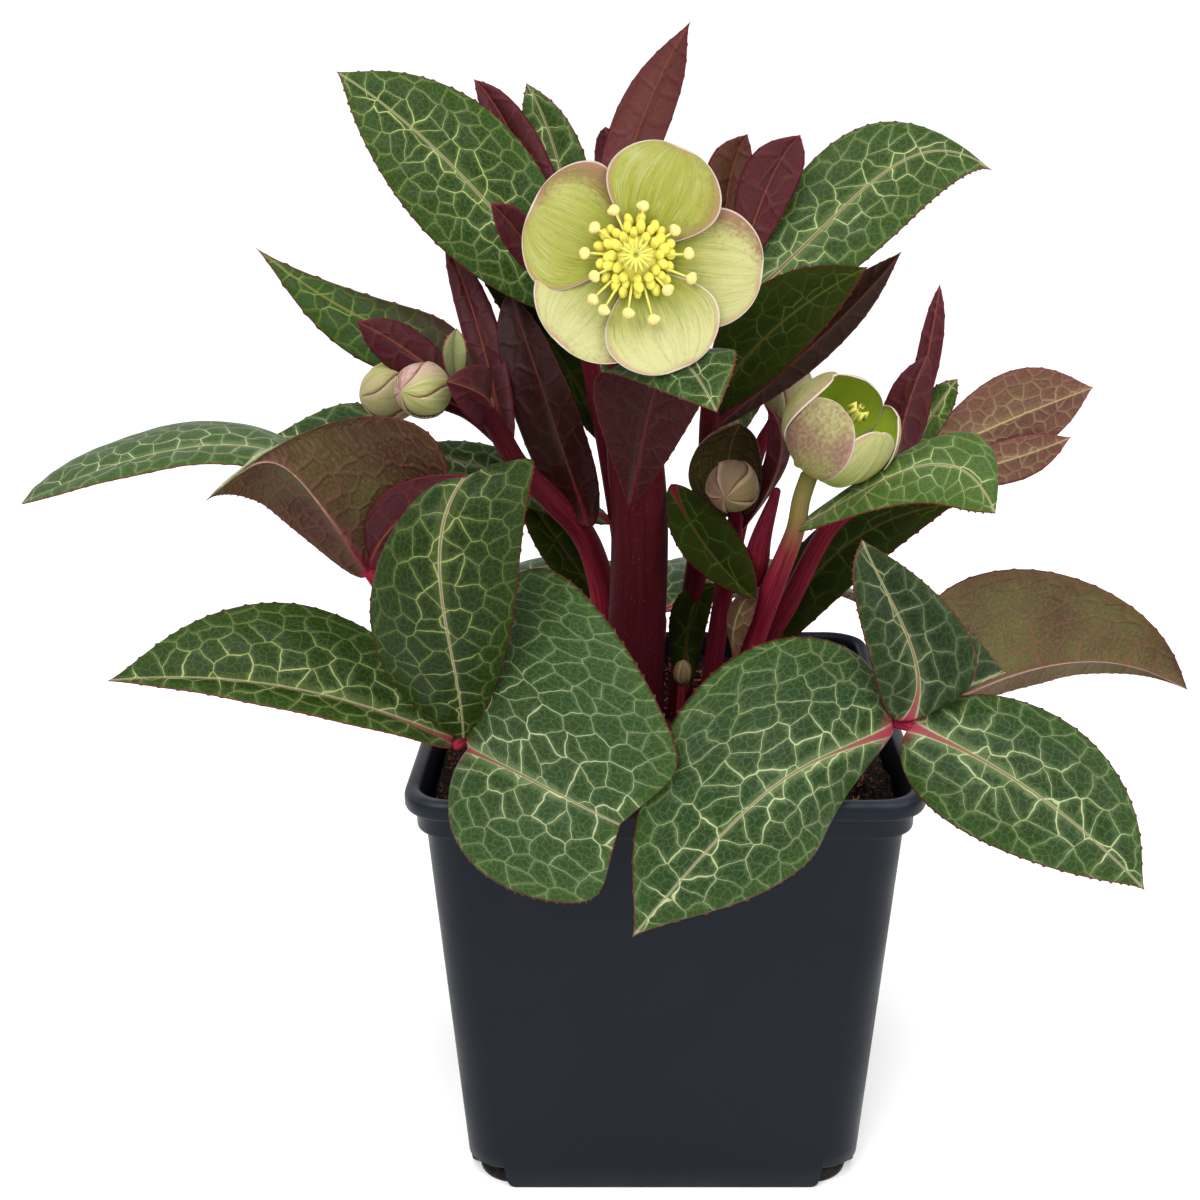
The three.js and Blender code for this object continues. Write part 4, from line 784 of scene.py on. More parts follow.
def leaf_skin(name, deep, warm, light, fresh, halo, net, rib, foot, rim, tooth, net_share,
              halo_share, sunken, tone_part=0, roughness=0.42, specular=0.1, sun=(1, 1, 1, 1),
              dusk=None, depth=0.4):
    """Leaf tissue. The net is the border of random cells; where two cells of different bands meet,
    the border is a side vein, which is wider. Fine rays run from each border into its cell, a
    feathery pale halo lies along rib and side veins, cell middles are deepest, and the rib turns
    pink towards the stalk. A thin red-brown line rims the blade. Tone warms the blade towards the
    colour that sun gives it; paleness lightens it above zero and darkens it below; a dusk
    colour, partly a dark maroon tint and partly painted shadow, spreads from the foot over the
    right half. Sunken is how far the cells stand above the net, and depth how strong the relief
    is."""
    deep, warm, light, fresh, halo, net, rib, foot, rim, tooth = (
        tinted(*colour) for colour in (deep, warm, light, fresh, halo, net, rib, foot, rim, tooth))
    work = Finish(name, roughness=roughness, specular=specular)
    spread, place = work.fact("spread"), work.fact("net")
    tones = work.split(work.fact("tone"))
    u, v, margin = work.split(work.fact("share"))
    pale = work.split(place)[2]
    flat = work.vector("MULTIPLY", place, (1.0, 1.0, 0.0))
    shift = work.vector("SUBTRACT", work.noise(spread, 0.12, 2.0)["Color"], (0.5, 0.5, 0.5))
    drawn = work.vector("ADD", flat, work.vector("SCALE", shift, scale=0.7))
    first = work.cells(drawn, "F1", 0.85)["Position"]
    second = work.cells(drawn, "F2", 0.85)["Position"]
    border = work.times(work.cells(drawn, "DISTANCE_TO_EDGE", 0.85)["Distance"], NET_PITCH)
    step = work.sum("ABSOLUTE", work.sum("SUBTRACT", cell_band(work, first), cell_band(work, second)))
    side_vein = work.sum("MINIMUM", step, 1.0)
    fine = work.cells(work.vector("SCALE", drawn, scale=3.1), "DISTANCE_TO_EDGE", 1.0)["Distance"]
    toward = work.vector("NORMALIZE", work.vector("SUBTRACT", drawn, first))
    ray = work.noise(work.vector("MULTIPLY_ADD", toward, (3.2, 3.2, 3.2),
                                 work.vector("SCALE", first, scale=9.7)), 1.0, 3.0, 0.6)["Fac"]
    mottle = work.noise(spread, 1.1, 5.0, 0.72)["Fac"]
    cloud = work.noise(spread, 0.05, 3.0)["Fac"]
    feather = work.line(work.plus(mottle, ray), 2.6, -2.6)
    outward = work.sum("ABSOLUTE", v)
    aside = work.sum("ABSOLUTE", work.split(spread)[1])
    inner = work.rise(aside, 2.0, 18.0, 1.0, 0.0)
    patch = 1.3 if tone_part else 0.7
    warmth = work.rise(work.plus(tones[tone_part], work.line(cloud, patch, -patch / 2)), 0.0, 1.0)
    base = work.mix(warmth, deep, warm)
    base = work.mix(work.sum("MAXIMUM", pale, 0.0), base, light)
    base = work.mix(work.rise(mottle, 0.5, 0.64, 0.0, 0.2), base, light)
    base = work.vector("SCALE", base, scale=work.rise(mottle, 0.36, 0.5, 0.72, 1.0))
    base = work.mix(work.rise(margin, 0.0, 8.0, 0.4, 0.0), base, fresh)
    glow = work.rise(work.plus(border, feather), 0.0, 1.1, 0.34, 0.0)
    base = work.mix(work.times(glow, halo_share), base, halo)
    calm = work.line(warmth, -0.45 * halo_share, halo_share)
    early = work.times(work.rise(u, 0.3, 0.95, 1.0, 0.25), calm)
    strong = work.times(work.line(side_vein, 0.6, 0.4), work.times(inner, early))
    bloom = work.rise(work.plus(border, feather), 0.0, 1.9, 0.55, 0.0)
    base = work.mix(work.times(bloom, strong), base, halo)
    wide = work.line(u, -3.4, 4.3)
    bright = work.rise(work.plus(aside, feather), 0.4, wide, 0.85, 0.0)
    base = work.mix(work.times(bright, early), base, halo)
    thread_tint = work.mix(work.rise(outward, 0.05, 0.8, 0.0, 0.5), net, fresh)
    uneven = work.rise(work.noise(spread, 0.28, 3.0)["Fac"], 0.3, 0.7, 0.82, 1.08)
    base = work.mix(work.times(work.rise(fine, 0.0, 0.1, 0.2, 0.0), net_share), base, halo)
    breadth = work.line(side_vein, work.rise(outward, 0.1, 0.8, 0.07, 0.01),
                        work.rise(outward, 0.2, 0.9, 0.075, 0.06))
    thread = work.rise(work.sum("DIVIDE", border, breadth), 0.4, 2.1, 0.95, 0.0)
    clear = work.times(work.line(side_vein, 0.2, work.rise(outward, 0.1, 1.0, 0.82, 0.5)), uneven)
    base = work.mix(work.times(work.times(thread, clear), net_share), base, thread_tint)
    # The dusk colour is partly a dark maroon tint and partly painted shadow over the right half.
    if dusk:
        base = work.mix(work.rise(work.line(v, -0.45, u), -0.1, 0.75, 0.92, 0.0), base, tinted(*dusk))
    base = work.vector("MULTIPLY", base, work.mix(warmth, (1, 1, 1, 1), sun))
    base = work.vector("SCALE", base, scale=work.rise(pale, -1.0, 0.0, 0.5, 1.0))
    stout = work.times(work.sum("EXPONENT", work.times(u, -9.0)), tones[2])
    rib_half = work.plus(work.times(stout, 1.7), work.line(u, -0.22, 0.34))
    flank = work.rise(aside, rib_half, work.plus(rib_half, 0.3), 0.6, 0.0)
    base = work.mix(work.times(flank, net_share), base, net)
    pink = work.times(work.rise(u, 0.03, 0.3, 1.0, 0.0), tones[2])
    base = work.mix(work.rise(work.sum("DIVIDE", aside, rib_half), 0.55, 1.0, 0.9, 0.0), base,
                    work.mix(pink, rib, foot))
    flushed = work.rise(work.line(feather, 0.02, work.line(aside, 0.004, u)), 0.0, 0.07, 0.8, 0.0)
    base = work.mix(work.times(flushed, tones[2]), base, foot)
    base = work.mix(work.rise(margin, 0.18, 0.55, 0.9, 0.0), base, rim)
    base = work.mix(work.rise(margin, -0.55, -0.1, 1.0, 0.0), base, tooth)
    work.paint(base)
    work.feed(work.shader.inputs["Roughness"],
              work.rise(mottle, 0.3, 0.7, roughness - 0.05, roughness + 0.08))
    height = work.line(work.rise(border, 0.0, 1.4), -sunken, work.times(work.plus(mottle, ray), 0.25))
    work.relief(height, min(depth, 1.0), 0.0004 * max(depth, 1.0))
    return work.material


NETTED = leaf_skin(
    "netted_green", deep=(42, 70, 32), warm=(38, 68, 12), light=(96, 126, 66), fresh=(66, 98, 26),
    halo=(152, 175, 118), net=(230, 238, 184), rib=(150, 112, 84), foot=(176, 44, 78), rim=(122, 58, 44),
    tooth=(228, 172, 142), net_share=0.85, halo_share=0.58, sunken=-0.8, sun=(1, 1, 0.6, 1))
# Netted green with a dark maroon colour from the foot over the right half: partly the leaf's own tint,
# partly painted shadow.
DUSKY_PARTLY_SHADED = leaf_skin(
    "netted_dusky_partly_shaded", deep=(42, 70, 26), warm=(40, 68, 10), light=(88, 116, 58), fresh=(62, 94, 24),
    halo=(122, 150, 76), net=(176, 196, 110), rib=(132, 92, 70), foot=(110, 34, 52), rim=(118, 50, 46),
    tooth=(160, 90, 80), net_share=0.7, halo_share=0.6, sunken=-0.8, sun=(1, 1, 0.6, 1), dusk=(60, 26, 24))
SHADED = leaf_skin(
    "netted_shade", deep=(30, 42, 8), warm=(60, 58, 16), light=(60, 78, 26), fresh=(48, 60, 12),
    halo=(60, 82, 28), net=(104, 126, 52), rib=(92, 66, 38), foot=(130, 36, 56), rim=(104, 36, 40),
    tooth=(150, 86, 76), net_share=0.5, halo_share=0.3, sunken=-0.6, roughness=0.6, specular=0.02)
BRONZE = leaf_skin(
    "bronze_underside", deep=(86, 50, 42), warm=(114, 112, 58), light=(184, 156, 122), fresh=(106, 66, 44),
    halo=(130, 88, 70), net=(148, 88, 78), rib=(206, 168, 146), foot=(150, 50, 70), rim=(116, 46, 46),
    tooth=(176, 104, 92), net_share=0.65, halo_share=0.5, sunken=0.7, tone_part=1, roughness=0.5,
    depth=1.1)
CLASP = leaf_skin(
    "maroon_underside", deep=(74, 30, 34), warm=(58, 38, 22), light=(120, 66, 62), fresh=(88, 40, 42),
    halo=(96, 48, 48), net=(116, 64, 60), rib=(112, 48, 52), foot=(112, 30, 48), rim=(112, 44, 48),
    tooth=(176, 104, 92), net_share=0.4, halo_share=0.3, sunken=0.6, tone_part=1, roughness=0.5, depth=0.6)
MAROON = leaf_skin(
    "maroon_bract", deep=(74, 24, 34), warm=(92, 62, 24), light=(132, 76, 70), fresh=(104, 34, 46),
    halo=(102, 50, 50), net=(134, 74, 66), rib=(150, 76, 56), foot=(142, 34, 60), rim=(118, 36, 50),
    tooth=(150, 80, 80), net_share=0.5, halo_share=0.42, sunken=0.6, tone_part=1, depth=0.9)
DARK = leaf_skin(
    "dark_bract", deep=(50, 20, 18), warm=(52, 36, 18), light=(104, 60, 52), fresh=(60, 24, 22),
    halo=(80, 38, 32), net=(100, 54, 44), rib=(108, 50, 36), foot=(122, 32, 50), rim=(104, 34, 42),
    tooth=(130, 70, 66), net_share=0.34, halo_share=0.34, sunken=0.5, tone_part=1, depth=0.9)
PALE = leaf_skin(
    "pale_bract", deep=(158, 176, 110), warm=(158, 176, 110), light=(190, 202, 138), fresh=(186, 180, 126),
    halo=(200, 210, 158), net=(214, 218, 174), rib=(186, 156, 116), foot=(156, 116, 84), rim=(170, 88, 96),
    tooth=(190, 120, 110), net_share=0.3, halo_share=0.3, sunken=0.3)
ROSE = leaf_skin(
    "rosy_bract", deep=(118, 76, 66), warm=(122, 96, 64), light=(196, 150, 122), fresh=(134, 84, 72),
    halo=(186, 154, 114), net=(222, 202, 150), rib=(216, 186, 128), foot=(158, 70, 70), rim=(150, 60, 72),
    tooth=(190, 96, 100), net_share=0.4, halo_share=0.55, sunken=0.7, tone_part=1, roughness=0.45,
    depth=0.9)
LEAF = (NETTED, BRONZE)
SHADE = (SHADED, BRONZE)
BRACT = (MAROON, MAROON)
DARK_BRACT = (DARK, DARK)
ROSY = (ROSE, ROSE)

# The blades of the basal leaves. Most stand as three or more on one stalk.
LOW_LEAVES = {
    "leaf_west_out": [
        dict(rib=[(-58, -57, 144), (-100, -66, 164), (-148, -66, 166)], left=[(3, -12, -2), (2, -8, -3)],
             right=[(-3, 18, 21), (-3, 16, 16)], full=(0.55, 0.8), tone=0.7, pale=-0.35, pitch=0.9,
             flush=0.7)],
    "leaf_west_up": [
        dict(rib=[(-55, -60, 147), (-55, -78, 178), (-56, -86, 205), (-50, -78, 224)],
             left=[(-25, 4, 0), (-13, 4, -4)], right=[(9, 4, -3), (27, 4, 8)], widest=0.5,
             full=(0.7, 0.15), tone=1.0, pale=-0.75, flow=-1, flush=0.0, pitch=0.9, point=0)],
    "leaf_west_front": [
        dict(rib=[(-54, -60, 144), (-38, -77, 144), (-24, -87, 141), (-12, -92, 137)],
             left=[(2, 22, 71), (23, 0, 21)], right=[(-17, -13, -19), (-7, -4, -28)], widest=0.5,
             full=(0.5, 0.15), bulge=0.05, tone=0.0, pale=0.1, flush=0.45, point=0)],
    "leaf_east_front": [
        dict(rib=[(62, -58, 149), (38, -80, 149), (19, -92, 140), (-9, -96, 107)],
             left=[(-7, -3, -16), (27, -2, -21)], right=[(-6, 16, 37), (-34, 6, 10)], widest=0.42,
             full=(0.5, 0.7), bulge=0.05, tone=0.2, pale=-0.1)],
    "leaf_east_out": [
        dict(rib=[(66.2, -58.2, 150), (96, -76, 139), (126, -84, 114)], left=[(12, 10, 14), (18, 8, 12)],
             right=[(-11, -6, -18), (-7, -5, -11)], widest=0.42, full=(0.55, 0.75), tone=0.25, pale=-0.1)],
    "leaf_east_up": [
        dict(rib=[(65, -59, 152), (67, -60, 168), (60, -57, 185), (52, -52, 201)],
             left=[(-13, -2, 0), (-11, -2, 1)], right=[(16, -2, 3), (16, -2, 0)], widest=0.42,
             full=(0.6, 0.6), tone=0.2, pale=-0.9, pitch=0.85),
        dict(rib=[(66, -59, 152), (78, -60, 161), (93, -54, 164)], left=[(2, 2, 23), (-5, 2, 16)],
             right=(0, 0, -2), full=(0.7, 0.9), tone=0.1, pale=-0.7, size="middle", pitch=0.85)],
    "leaf_east_back": [
        dict(rib=[(67, -56, 150), (121, -15, 153), (161, -5, 140)], left=[(4, 6, -8), (4, 6, -6)],
             right=[(-32, -6, 37), (6, -4, 23)], widest=0.47, full=(0.8, 0.7), bronze=0.6, flush=0.6)],
    "leaf_high_long": [
        dict(rib=[(-84, -25, 185), (-112, -20, 218), (-153, -24, 215), (-181, -26, 204)],
             left=[(3, -14, -6), (2, -8, 0)], right=[(-6, 24, 2), (-5, 20, 4)], widest=0.58,
             full=(0.7, 0.6), tone=0.1, pale=0.4, pitch=0.8)],
    "leaf_high_fold": [
        dict(rib=[(-84, -28, 185), (-96, -44, 213), (-106, -50, 222), (-121, -54, 212)],
             left=[(45, 2, 18), (10, 4, 8)], right=[(-4, 8, -14), (-11, 8, -14)], widest=0.42,
             full=(0.55, 0.7), pitch=0.8)],
    "leaf_high_back": [
        dict(rib=[(-84, -23, 186), (-92, -2, 211), (-118, 6, 216)], left=[(-4, -6, -14), (-4, -6, -8)],
             right=[(7, 8, 18), (4, 8, 10)], widest=0.5, size="middle", bronze=0.5)],
    "leaf_high_inner": [
        dict(rib=[(-83, -28, 186), (-72, -42, 204), (-51, -44, 217)], left=(5, 2, -6),
             right=[(-6, 2, 6), (-5, 2, 6)], widest=0.5, size="middle", bronze=0.0, skins=BRACT)],
    "leaf_rear_left": [
        dict(rib=[(0, 65, 142), (-50, 88, 146), (-92, 98, 122)], left=[(-8, -20, 4), (-8, -18, 4)],
             right=[(8, 20, 4), (8, 18, 4)])],
    "leaf_rear_middle": [
        dict(rib=[(0, 67, 142), (-4, 104, 146), (-8, 140, 126)], left=[(-22, -3, 3), (-20, -3, 3)],
             right=[(22, 3, 3), (20, 3, 3)], tone=0.5)],
    "leaf_rear_right": [
        dict(rib=[(1, 65, 142), (52, 84, 146), (92, 96, 122)], left=[(-8, 20, 4), (-8, 18, 4)],
             right=[(8, -20, 4), (8, -18, 4)], tone=0.1)],
}


def grow(table, first_seed):
    """One piece for each entry of a table of blades, each blade with a seed of its own. Blades are
    netted green above and bronze below unless they say otherwise."""
    seed = first_seed
    for node, blades in table.items():
        parts = []
        for blade in blades:
            parts.append(leaf_sheet(**{"skins": LEAF, "seed": seed, **blade}))
            seed += 1
        add_piece(node + "_blade", [node], parts)


grow(LOW_LEAVES, 0)

# The flowering stems: stout maroon stems that come up through the crown with small leaves and
# bracts growing out of them in one piece, the middle one clasped by a wide leaf under the flower.
# Each has its stems first, and then the small leaves that grow out of them.
SHOOTS = {
    "stem_middle": (
        [dict(path=[(-8, 0, 104), (-8, -3, 150), (-7, -9, 195), (-10, -15, 232), (-10, -24, 254),
                    (-8, -46, 273)], radii=[8.6, 8.6, 8.6, 8.2, 5, 2.8], tones=(0.1, 0.0, 0.1, 0.15),
              sides=30)],
        []),
    "stem_left": (
        [dict(path=[(-14, 14, 104), (-17, 12, 145), (-19, 8, 170), (-24, 0, 188), (-33, -8, 201),
                    (-42, -13, 212), (-50, -19, 228), (-61, -25, 236)],
              radii=[4.6, 4.4, 4.2, 4, 3.8, 3.6, 3, 2.4], tones=(0.9, 0.85, 0.8, 0.4, 0.1, 0.1)),
         dict(path=[(-46, -16, 221), (-56, -14, 228), (-70, -14, 233)], radii=[3, 2.2, 2.2],
              tones=(0.1, 0.1))],
        [dict(rib=[(-22, -7, 192), (-33, -8, 227), (-45, 8, 259)], left=(8, 4, 0), right=(-12, 4, 2),
              widest=0.42, full=(0.6, 0.45), size="middle", bronze=0.15, skins=DARK_BRACT),
         dict(rib=[(-45, -14, 216), (-54, 6, 248), (-64, 16, 273)], left=(-5, 0, -1), right=(6, -2, 1),
              full=(0.5, 0.5), size="small"),
         dict(rib=[(-50, -18, 229), (-50, -36, 237), (-58, -44, 242)], left=(2, 3, 7), right=(-2, 3, -9),
              full=(0.5, 0.5), size="small"),
         dict(rib=[(-55, -21, 233), (-72, -21, 247), (-84, -26, 255)], left=(-4, 0, -6), right=(3, 2, 5),
              size="small")]),
    "stem_top_left": (
        [dict(path=[(-6, 24, 104), (-10, 22, 160), (-16, 16, 205), (-22, 8, 240), (-25, 4, 256)],
              radii=[4, 3.8, 3.4, 3, 2.4], tones=(0.5, 0.3, 0.2))],
        [dict(rib=[(-24, 6, 258), (-42, 17, 299), (-55, 22, 318)], left=(-5, -2, -3), right=(6, -2, 3),
              size="small"),
         dict(rib=[(-22, 6, 252), (-9, 8, 300), (7, 2, 333)], left=[(10, 2, 0), (7, 2, -1)],
              right=[(-10, 2, 0), (-7, 2, 1)], full=(0.7, 1.1), widest=0.6, size="middle", bronze=0.35,
              pale=0.8),
         dict(rib=[(-23, 7, 256), (-17, 14, 290), (-17, 16, 305)], left=(4, 2, 0), right=(-4, 2, 0),
              widest=0.65, size="small"),
         dict(rib=[(-25, 4, 250), (-38, -14, 274), (-47, -22, 286)], left=(-2, -2, -5), right=(4, 0, 3),
              widest=0.6, size="small")]),
    "stem_top_right": (
        [dict(path=[(4, 20, 104), (8, 16, 150), (13, 8, 197), (14, 4, 228), (19, 2, 254)],
              radii=[4, 3.8, 3.4, 3, 2.4], tones=(0.4, 0.2, 0.1))],
        [dict(rib=[(18, 2, 252), (18, 14, 284), (24, 16, 303)], left=(-7, -2, 3), right=(6, -2, -2),
              widest=0.6, size="small", bronze=0.8, pale=0.1),
         dict(rib=[(19, 2, 254), (28, 5, 286), (38, 4, 303)], left=(-8, -2, 3), right=(7, -2, -3),
              widest=0.6, size="small", pale=0.2),
         dict(rib=[(13, 8, 218), (46, 12, 245), (70, 16, 270)], left=(5, 2, -4), right=(-6, 2, 6),
              size="middle", bronze=0.8, skins=DARK_BRACT)]),
    "stem_side": (
        [dict(path=[(30, 14, 104), (31, 8, 145), (39, 4, 166), (51, 4, 190), (66, 8, 199), (74, 8, 208)],
              radii=[4, 3.8, 3.4, 3, 2.6, 2], tones=(0.4, 0.5, 0.4))],
        [dict(rib=[(72, 8, 206), (101, 16, 218), (131, 20, 229)], left=(6, 2, -11), right=(-4, 2, 13),
              widest=0.6, size="middle", bronze=0.35, pitch=0.6, skins=ROSY),
         dict(rib=[(73, 9, 202), (101, 16, 206), (125, 18, 214)], left=(3, 0, -7), right=(-2, 0, 6),
              widest=0.6, size="small", bronze=0.35, pitch=0.6, skins=ROSY),
         dict(rib=[(73, 8, 208), (78, 10, 240), (81, 12, 261)], left=(4, 0, -1), right=(-3, 0, 1),
              widest=0.5, size="small"),
         dict(rib=[(68, 4, 202), (71, 0, 226), (77, 2, 242)], left=(7, 2, -2), right=(-6, 2, 2),
              size="small")]),
    "stem_hood": (
        [dict(path=[(12, 11, 104), (15, 8, 135), (18, 2, 165), (21, -6, 190), (21, -13, 204),
                    (21, -20, 210)], radii=[3.4, 3.2, 3, 2.8, 2.4, 2], tones=(0.4, 0.4, 0.4))],
        [dict(rib=[(21, -8, 196), (19, 0, 209), (22, -6, 223)], left=(-12, -14, 3), right=(9, -14, 3),
              full=(0.5, 0.5), bulge=-0.2, size="middle", bronze=0.7, pale=-0.3, pitch=0.7,
              skins=(BRONZE, BRONZE)),
         dict(rib=[(22, -5, 190), (33, -14, 215), (28, -16, 231)], left=(3, 2, 0), right=(-4, 2, 0),
              size="small")]),
    "stem_rear": (
        [dict(path=[(14, 22, 104), (18, 20, 150), (28, 16, 205), (34, 18, 219)], radii=[3, 2.8, 2.4, 2],
              tones=(0.4, 0.3))],
        []),
    "stem_pink": (
        [dict(path=[(21, -6, 104), (22, -8, 135), (27, -12, 160), (31, -19, 176), (35, -25, 190),
                    (37, -28, 198), (38, -29, 206), (40, -29, 213)],
              radii=[5, 5, 4.4, 3.9, 3.7, 3.2, 2.7, 2.5], tones=(0.9, 0.95, 0.95, 0.9),
              greens=(0, 0, 0, 0, 0, 0, 0, 0, 0.1, 0.8, 1))],
        [dict(rib=[(22, -11, 152), (22, -18, 168), (28, -20, 178)], left=(3, -4, -1), right=(-3, 4, 1),
              widest=0.5, size="small", bronze=1.0, skins=ROSY)]),
    "sheath_red": (
        [dict(path=[(28, -8, 166), (27, -20, 188), (31, -30, 209)], radii=[2.4, 3.6, 1.2],
              tones=(0.6, 0.5, 0.3))],
        []),
}
seed = 40
for node, (stems, blades) in SHOOTS.items():
    parts = []
    for stem in stems:
        parts.append(stem_tube(skin=STEM_SKIN, seed=seed, **stem))
        seed += 1
    for blade in blades:
        parts.append(leaf_sheet(**{"skins": BRACT, "seed": seed, "teeth": 0.2, "quilt": 0.12,
                                   "ripple": 0.3, "bronze": 0.1, **blade}))
        seed += 1
    add_piece(node + "_grown", [node], parts)

# The leaves on the flowering stems, each a piece of its own: netted ones at the top and the sides,
# dark ones in the shade among the stems, a pale bract at the buds and the wide one that clasps the
# middle stem. Each sits with its foot on its stem.
STEM_LEAVES = {
    "leaf_left_shade": [
        dict(rib=[(-15, 17, 187), (-52, 15, 204), (-81, 18, 209)], left=[(0, -6, -8), (0, -6, -5)],
             right=[(0, 6, 8), (0, 6, 5)], widest=0.5, size="middle", tone=0.0, pitch=0.7)],
    "leaf_left_bronze": [
        dict(rib=[(-48, -15, 229), (-64, -8, 244), (-84, -4, 252), (-117, 4, 272)],
             left=[(-4, -4, -8), (-8, -4, -10)], right=[(4, 4, 8), (4, 4, 6)], widest=0.5, size="middle",
             tone=0.6, pitch=0.7, flush=0.3, skins=(DUSKY_PARTLY_SHADED, BRONZE))],
    "bract_left_pale": [
        dict(rib=[(-58, -21, 236), (-58, -24, 246), (-57, -24, 253)], left=(-3, -2, 1), right=(4, -2, 1),
             size="small", skins=(PALE, PALE))],
    "leaf_collar": [
        dict(rib=[(-10, -17, 200), (-5, -34, 230), (1, -49, 248), (12, -72, 239)],
             left=[(15, 0, 0), (17, -4, 5)], right=[(-13, 5, 0), (-22, 7, -7)], widest=0.55,
             full=(0.8, 0.55), tone=0.4, pitch=0.75, skins=(NETTED, CLASP))],
    "leaf_top_left": [
        dict(rib=[(-26, 2, 254), (-60, 8, 294), (-94, 20, 320)], left=[(-18, -4, -11), (-10, -4, -11)],
             right=[(12, 6, 16), (11, 6, 13)], full=(0.7, 0.75), tone=0.75, pale=-0.1, pitch=0.8,
             flush=0.2)],
    "leaf_top_narrow": [
        dict(rib=[(-22, 8, 258), (-31, 20, 296), (-40, 24, 317)], left=(-8, -2, -2), right=(8, -2, 1),
             size="middle", tone=0.6)],
    "leaf_top_shade": [
        dict(rib=[(-17, 16, 212), (-35, 14, 245), (-57, 18, 267)], left=(-4, -3, -6), right=(7, 3, 9),
             size="middle", skins=SHADE)],
    "leaf_top_right": [
        dict(rib=[(20, 1, 255), (49, 6, 281), (71, 10, 297), (94, 12, 293)],
             left=[(-14, 6, 10), (-8, 6, 11)], right=[(8, -6, -16), (5, -6, -12)], widest=0.47,
             full=(0.6, 0.75), tone=0.5, pale=0.1, pitch=0.8, flush=0.2)],
    "leaf_right_shade": [
        dict(rib=[(14, 2, 226), (31, -6, 250), (58, 0, 267)], left=(-7, 4, 10), right=(6, -4, -8),
             full=(0.7, 0.7), size="middle", skins=SHADE, pitch=0.7)],
    "leaf_low_left": [
        dict(rib=[(-13, 20, 150), (-32, 18, 180), (-44, 22, 196)], left=(-6, 0, -4), right=(6, 0, 4),
             size="middle", skins=SHADE)],
    "leaf_low_right": [
        dict(rib=[(2, -14, 207), (12, -20, 190), (27, -26, 175)], left=(10, -2, 3), right=(-6, -2, -3),
             size="middle", skins=SHADE)],
    "leaf_low_crown": [
        dict(rib=[(7, 4, 135), (9, 10, 160), (17, 12, 169)], left=(-6, 0, 2), right=(5, 0, -4),
             size="middle", skins=SHADE)],
    "leaf_low_side": [
        dict(rib=[(34, 5, 150), (57, 13, 181), (93, 22, 192)], left=(-7, 4, 6), right=(7, -4, -7),
             size="middle", skins=SHADE)],
    "leaf_side_net": [
        dict(rib=[(36, -28, 197), (55, -40, 212), (73, -46, 220), (87, -52, 208)],
             left=[(4, 8, 6), (10, 8, 8)], right=[(-2, -4, -6), (-4, -4, -12)], widest=0.6,
             full=(0.45, 0.6), tone=0.6, pale=0.55, pitch=0.65, flush=0.15)],
    "leaf_side_small": [
        dict(rib=[(74, 11, 209), (82, 12, 224), (88, 12, 233)], left=(-4, 0, 3), right=(4, 0, -3),
             size="small", tone=0.9)],
    "leaf_top_rear_left": [
        dict(rib=[(-18, 16, 214), (-26, 48, 258), (-38, 78, 272)], left=(-14, -4, 4), right=(14, 4, 2))],
    "leaf_top_rear_right": [
        dict(rib=[(15, 10, 206), (36, 52, 246), (52, 80, 256)], left=(-13, 6, 4), right=(13, -6, 4),
             tone=0.2)],
}
grow(STEM_LEAVES, 80)

# The open flower: five broad lime sepals on a short receptacle, then a crowded ring of tubular
# yellow nectaries, long stamens with round anthers, and a star of narrow styles in the middle.
# All of it grew in one; the sepals overlap each other like tiles.
FLOWER_PLACE = (-8, -50, 274)
FLOWER_FACING = (0, -0.97, 0.2)
NECTARY_RINGS = ((12, 5.6, 6.0), (15, 7.3, 5.6), (17, 9.0, 4.6))
ANTHER_SPOTS = [(-5.4, 11.2), (1.9, 12.2), (-10.2, 7.0), (-12.8, 0.9), (13.2, 0.6), (9.8, 6.3),
                (13.8, -5.5), (-10.4, -4.8), (-10.8, -10.5), (-8.1, -13.2), (-2, -14), (4.3, -15.5),
                (7.9, -8.4)]


def aimed(points, place, facing):
    """Points worked out facing +Z, turned to a direction by the shortest turn and moved to a place."""
    goal = np.array(facing, float) / np.linalg.norm(facing)
    turn = np.cross([0, 0, 1], goal)
    cross = np.array([[0, -turn[2], turn[1]], [turn[2], 0, -turn[0]], [-turn[1], turn[0], 0]])
    matrix = np.eye(3) + cross + cross @ cross / (1 + goal[2])
    return points @ matrix.T + np.array(place, float)


def aim_parts(parts, place, facing):
    """Turns and moves surfaces that were worked out facing +Z."""
    for part in parts:
        part["co"] = aimed(part["co"], place, facing)
    return parts


def sepal_sheet(direction, profile, half, inward, skins, seed, blush=0.0, depth=0.0, **form):
    """A sepal: a blade at a direction round the flower, in degrees, along a profile of distances
    from the axis and heights, with its edges bent inwards and waved."""
    turn = math.radians(direction)

    def place(out, around, z):
        return (out * math.cos(turn) - around * math.sin(turn),
                out * math.sin(turn) + around * math.cos(turn), z)

    left, right = place(-inward, half, 1), place(-inward, -half, 1)
    settings = dict(widest=0.6, full=(0.75, 0.5), bulge=-0.04, size="big", teeth=0.0, thick=0.7,
                    ripple=0.45, quilt=0.0, point=0, tone=blush, bronze=depth, flush=0.0, seed=seed)
    settings.update(form)
    return leaf_sheet([place(out, 0, z) for out, z in profile], left, right, skins=skins, **settings)


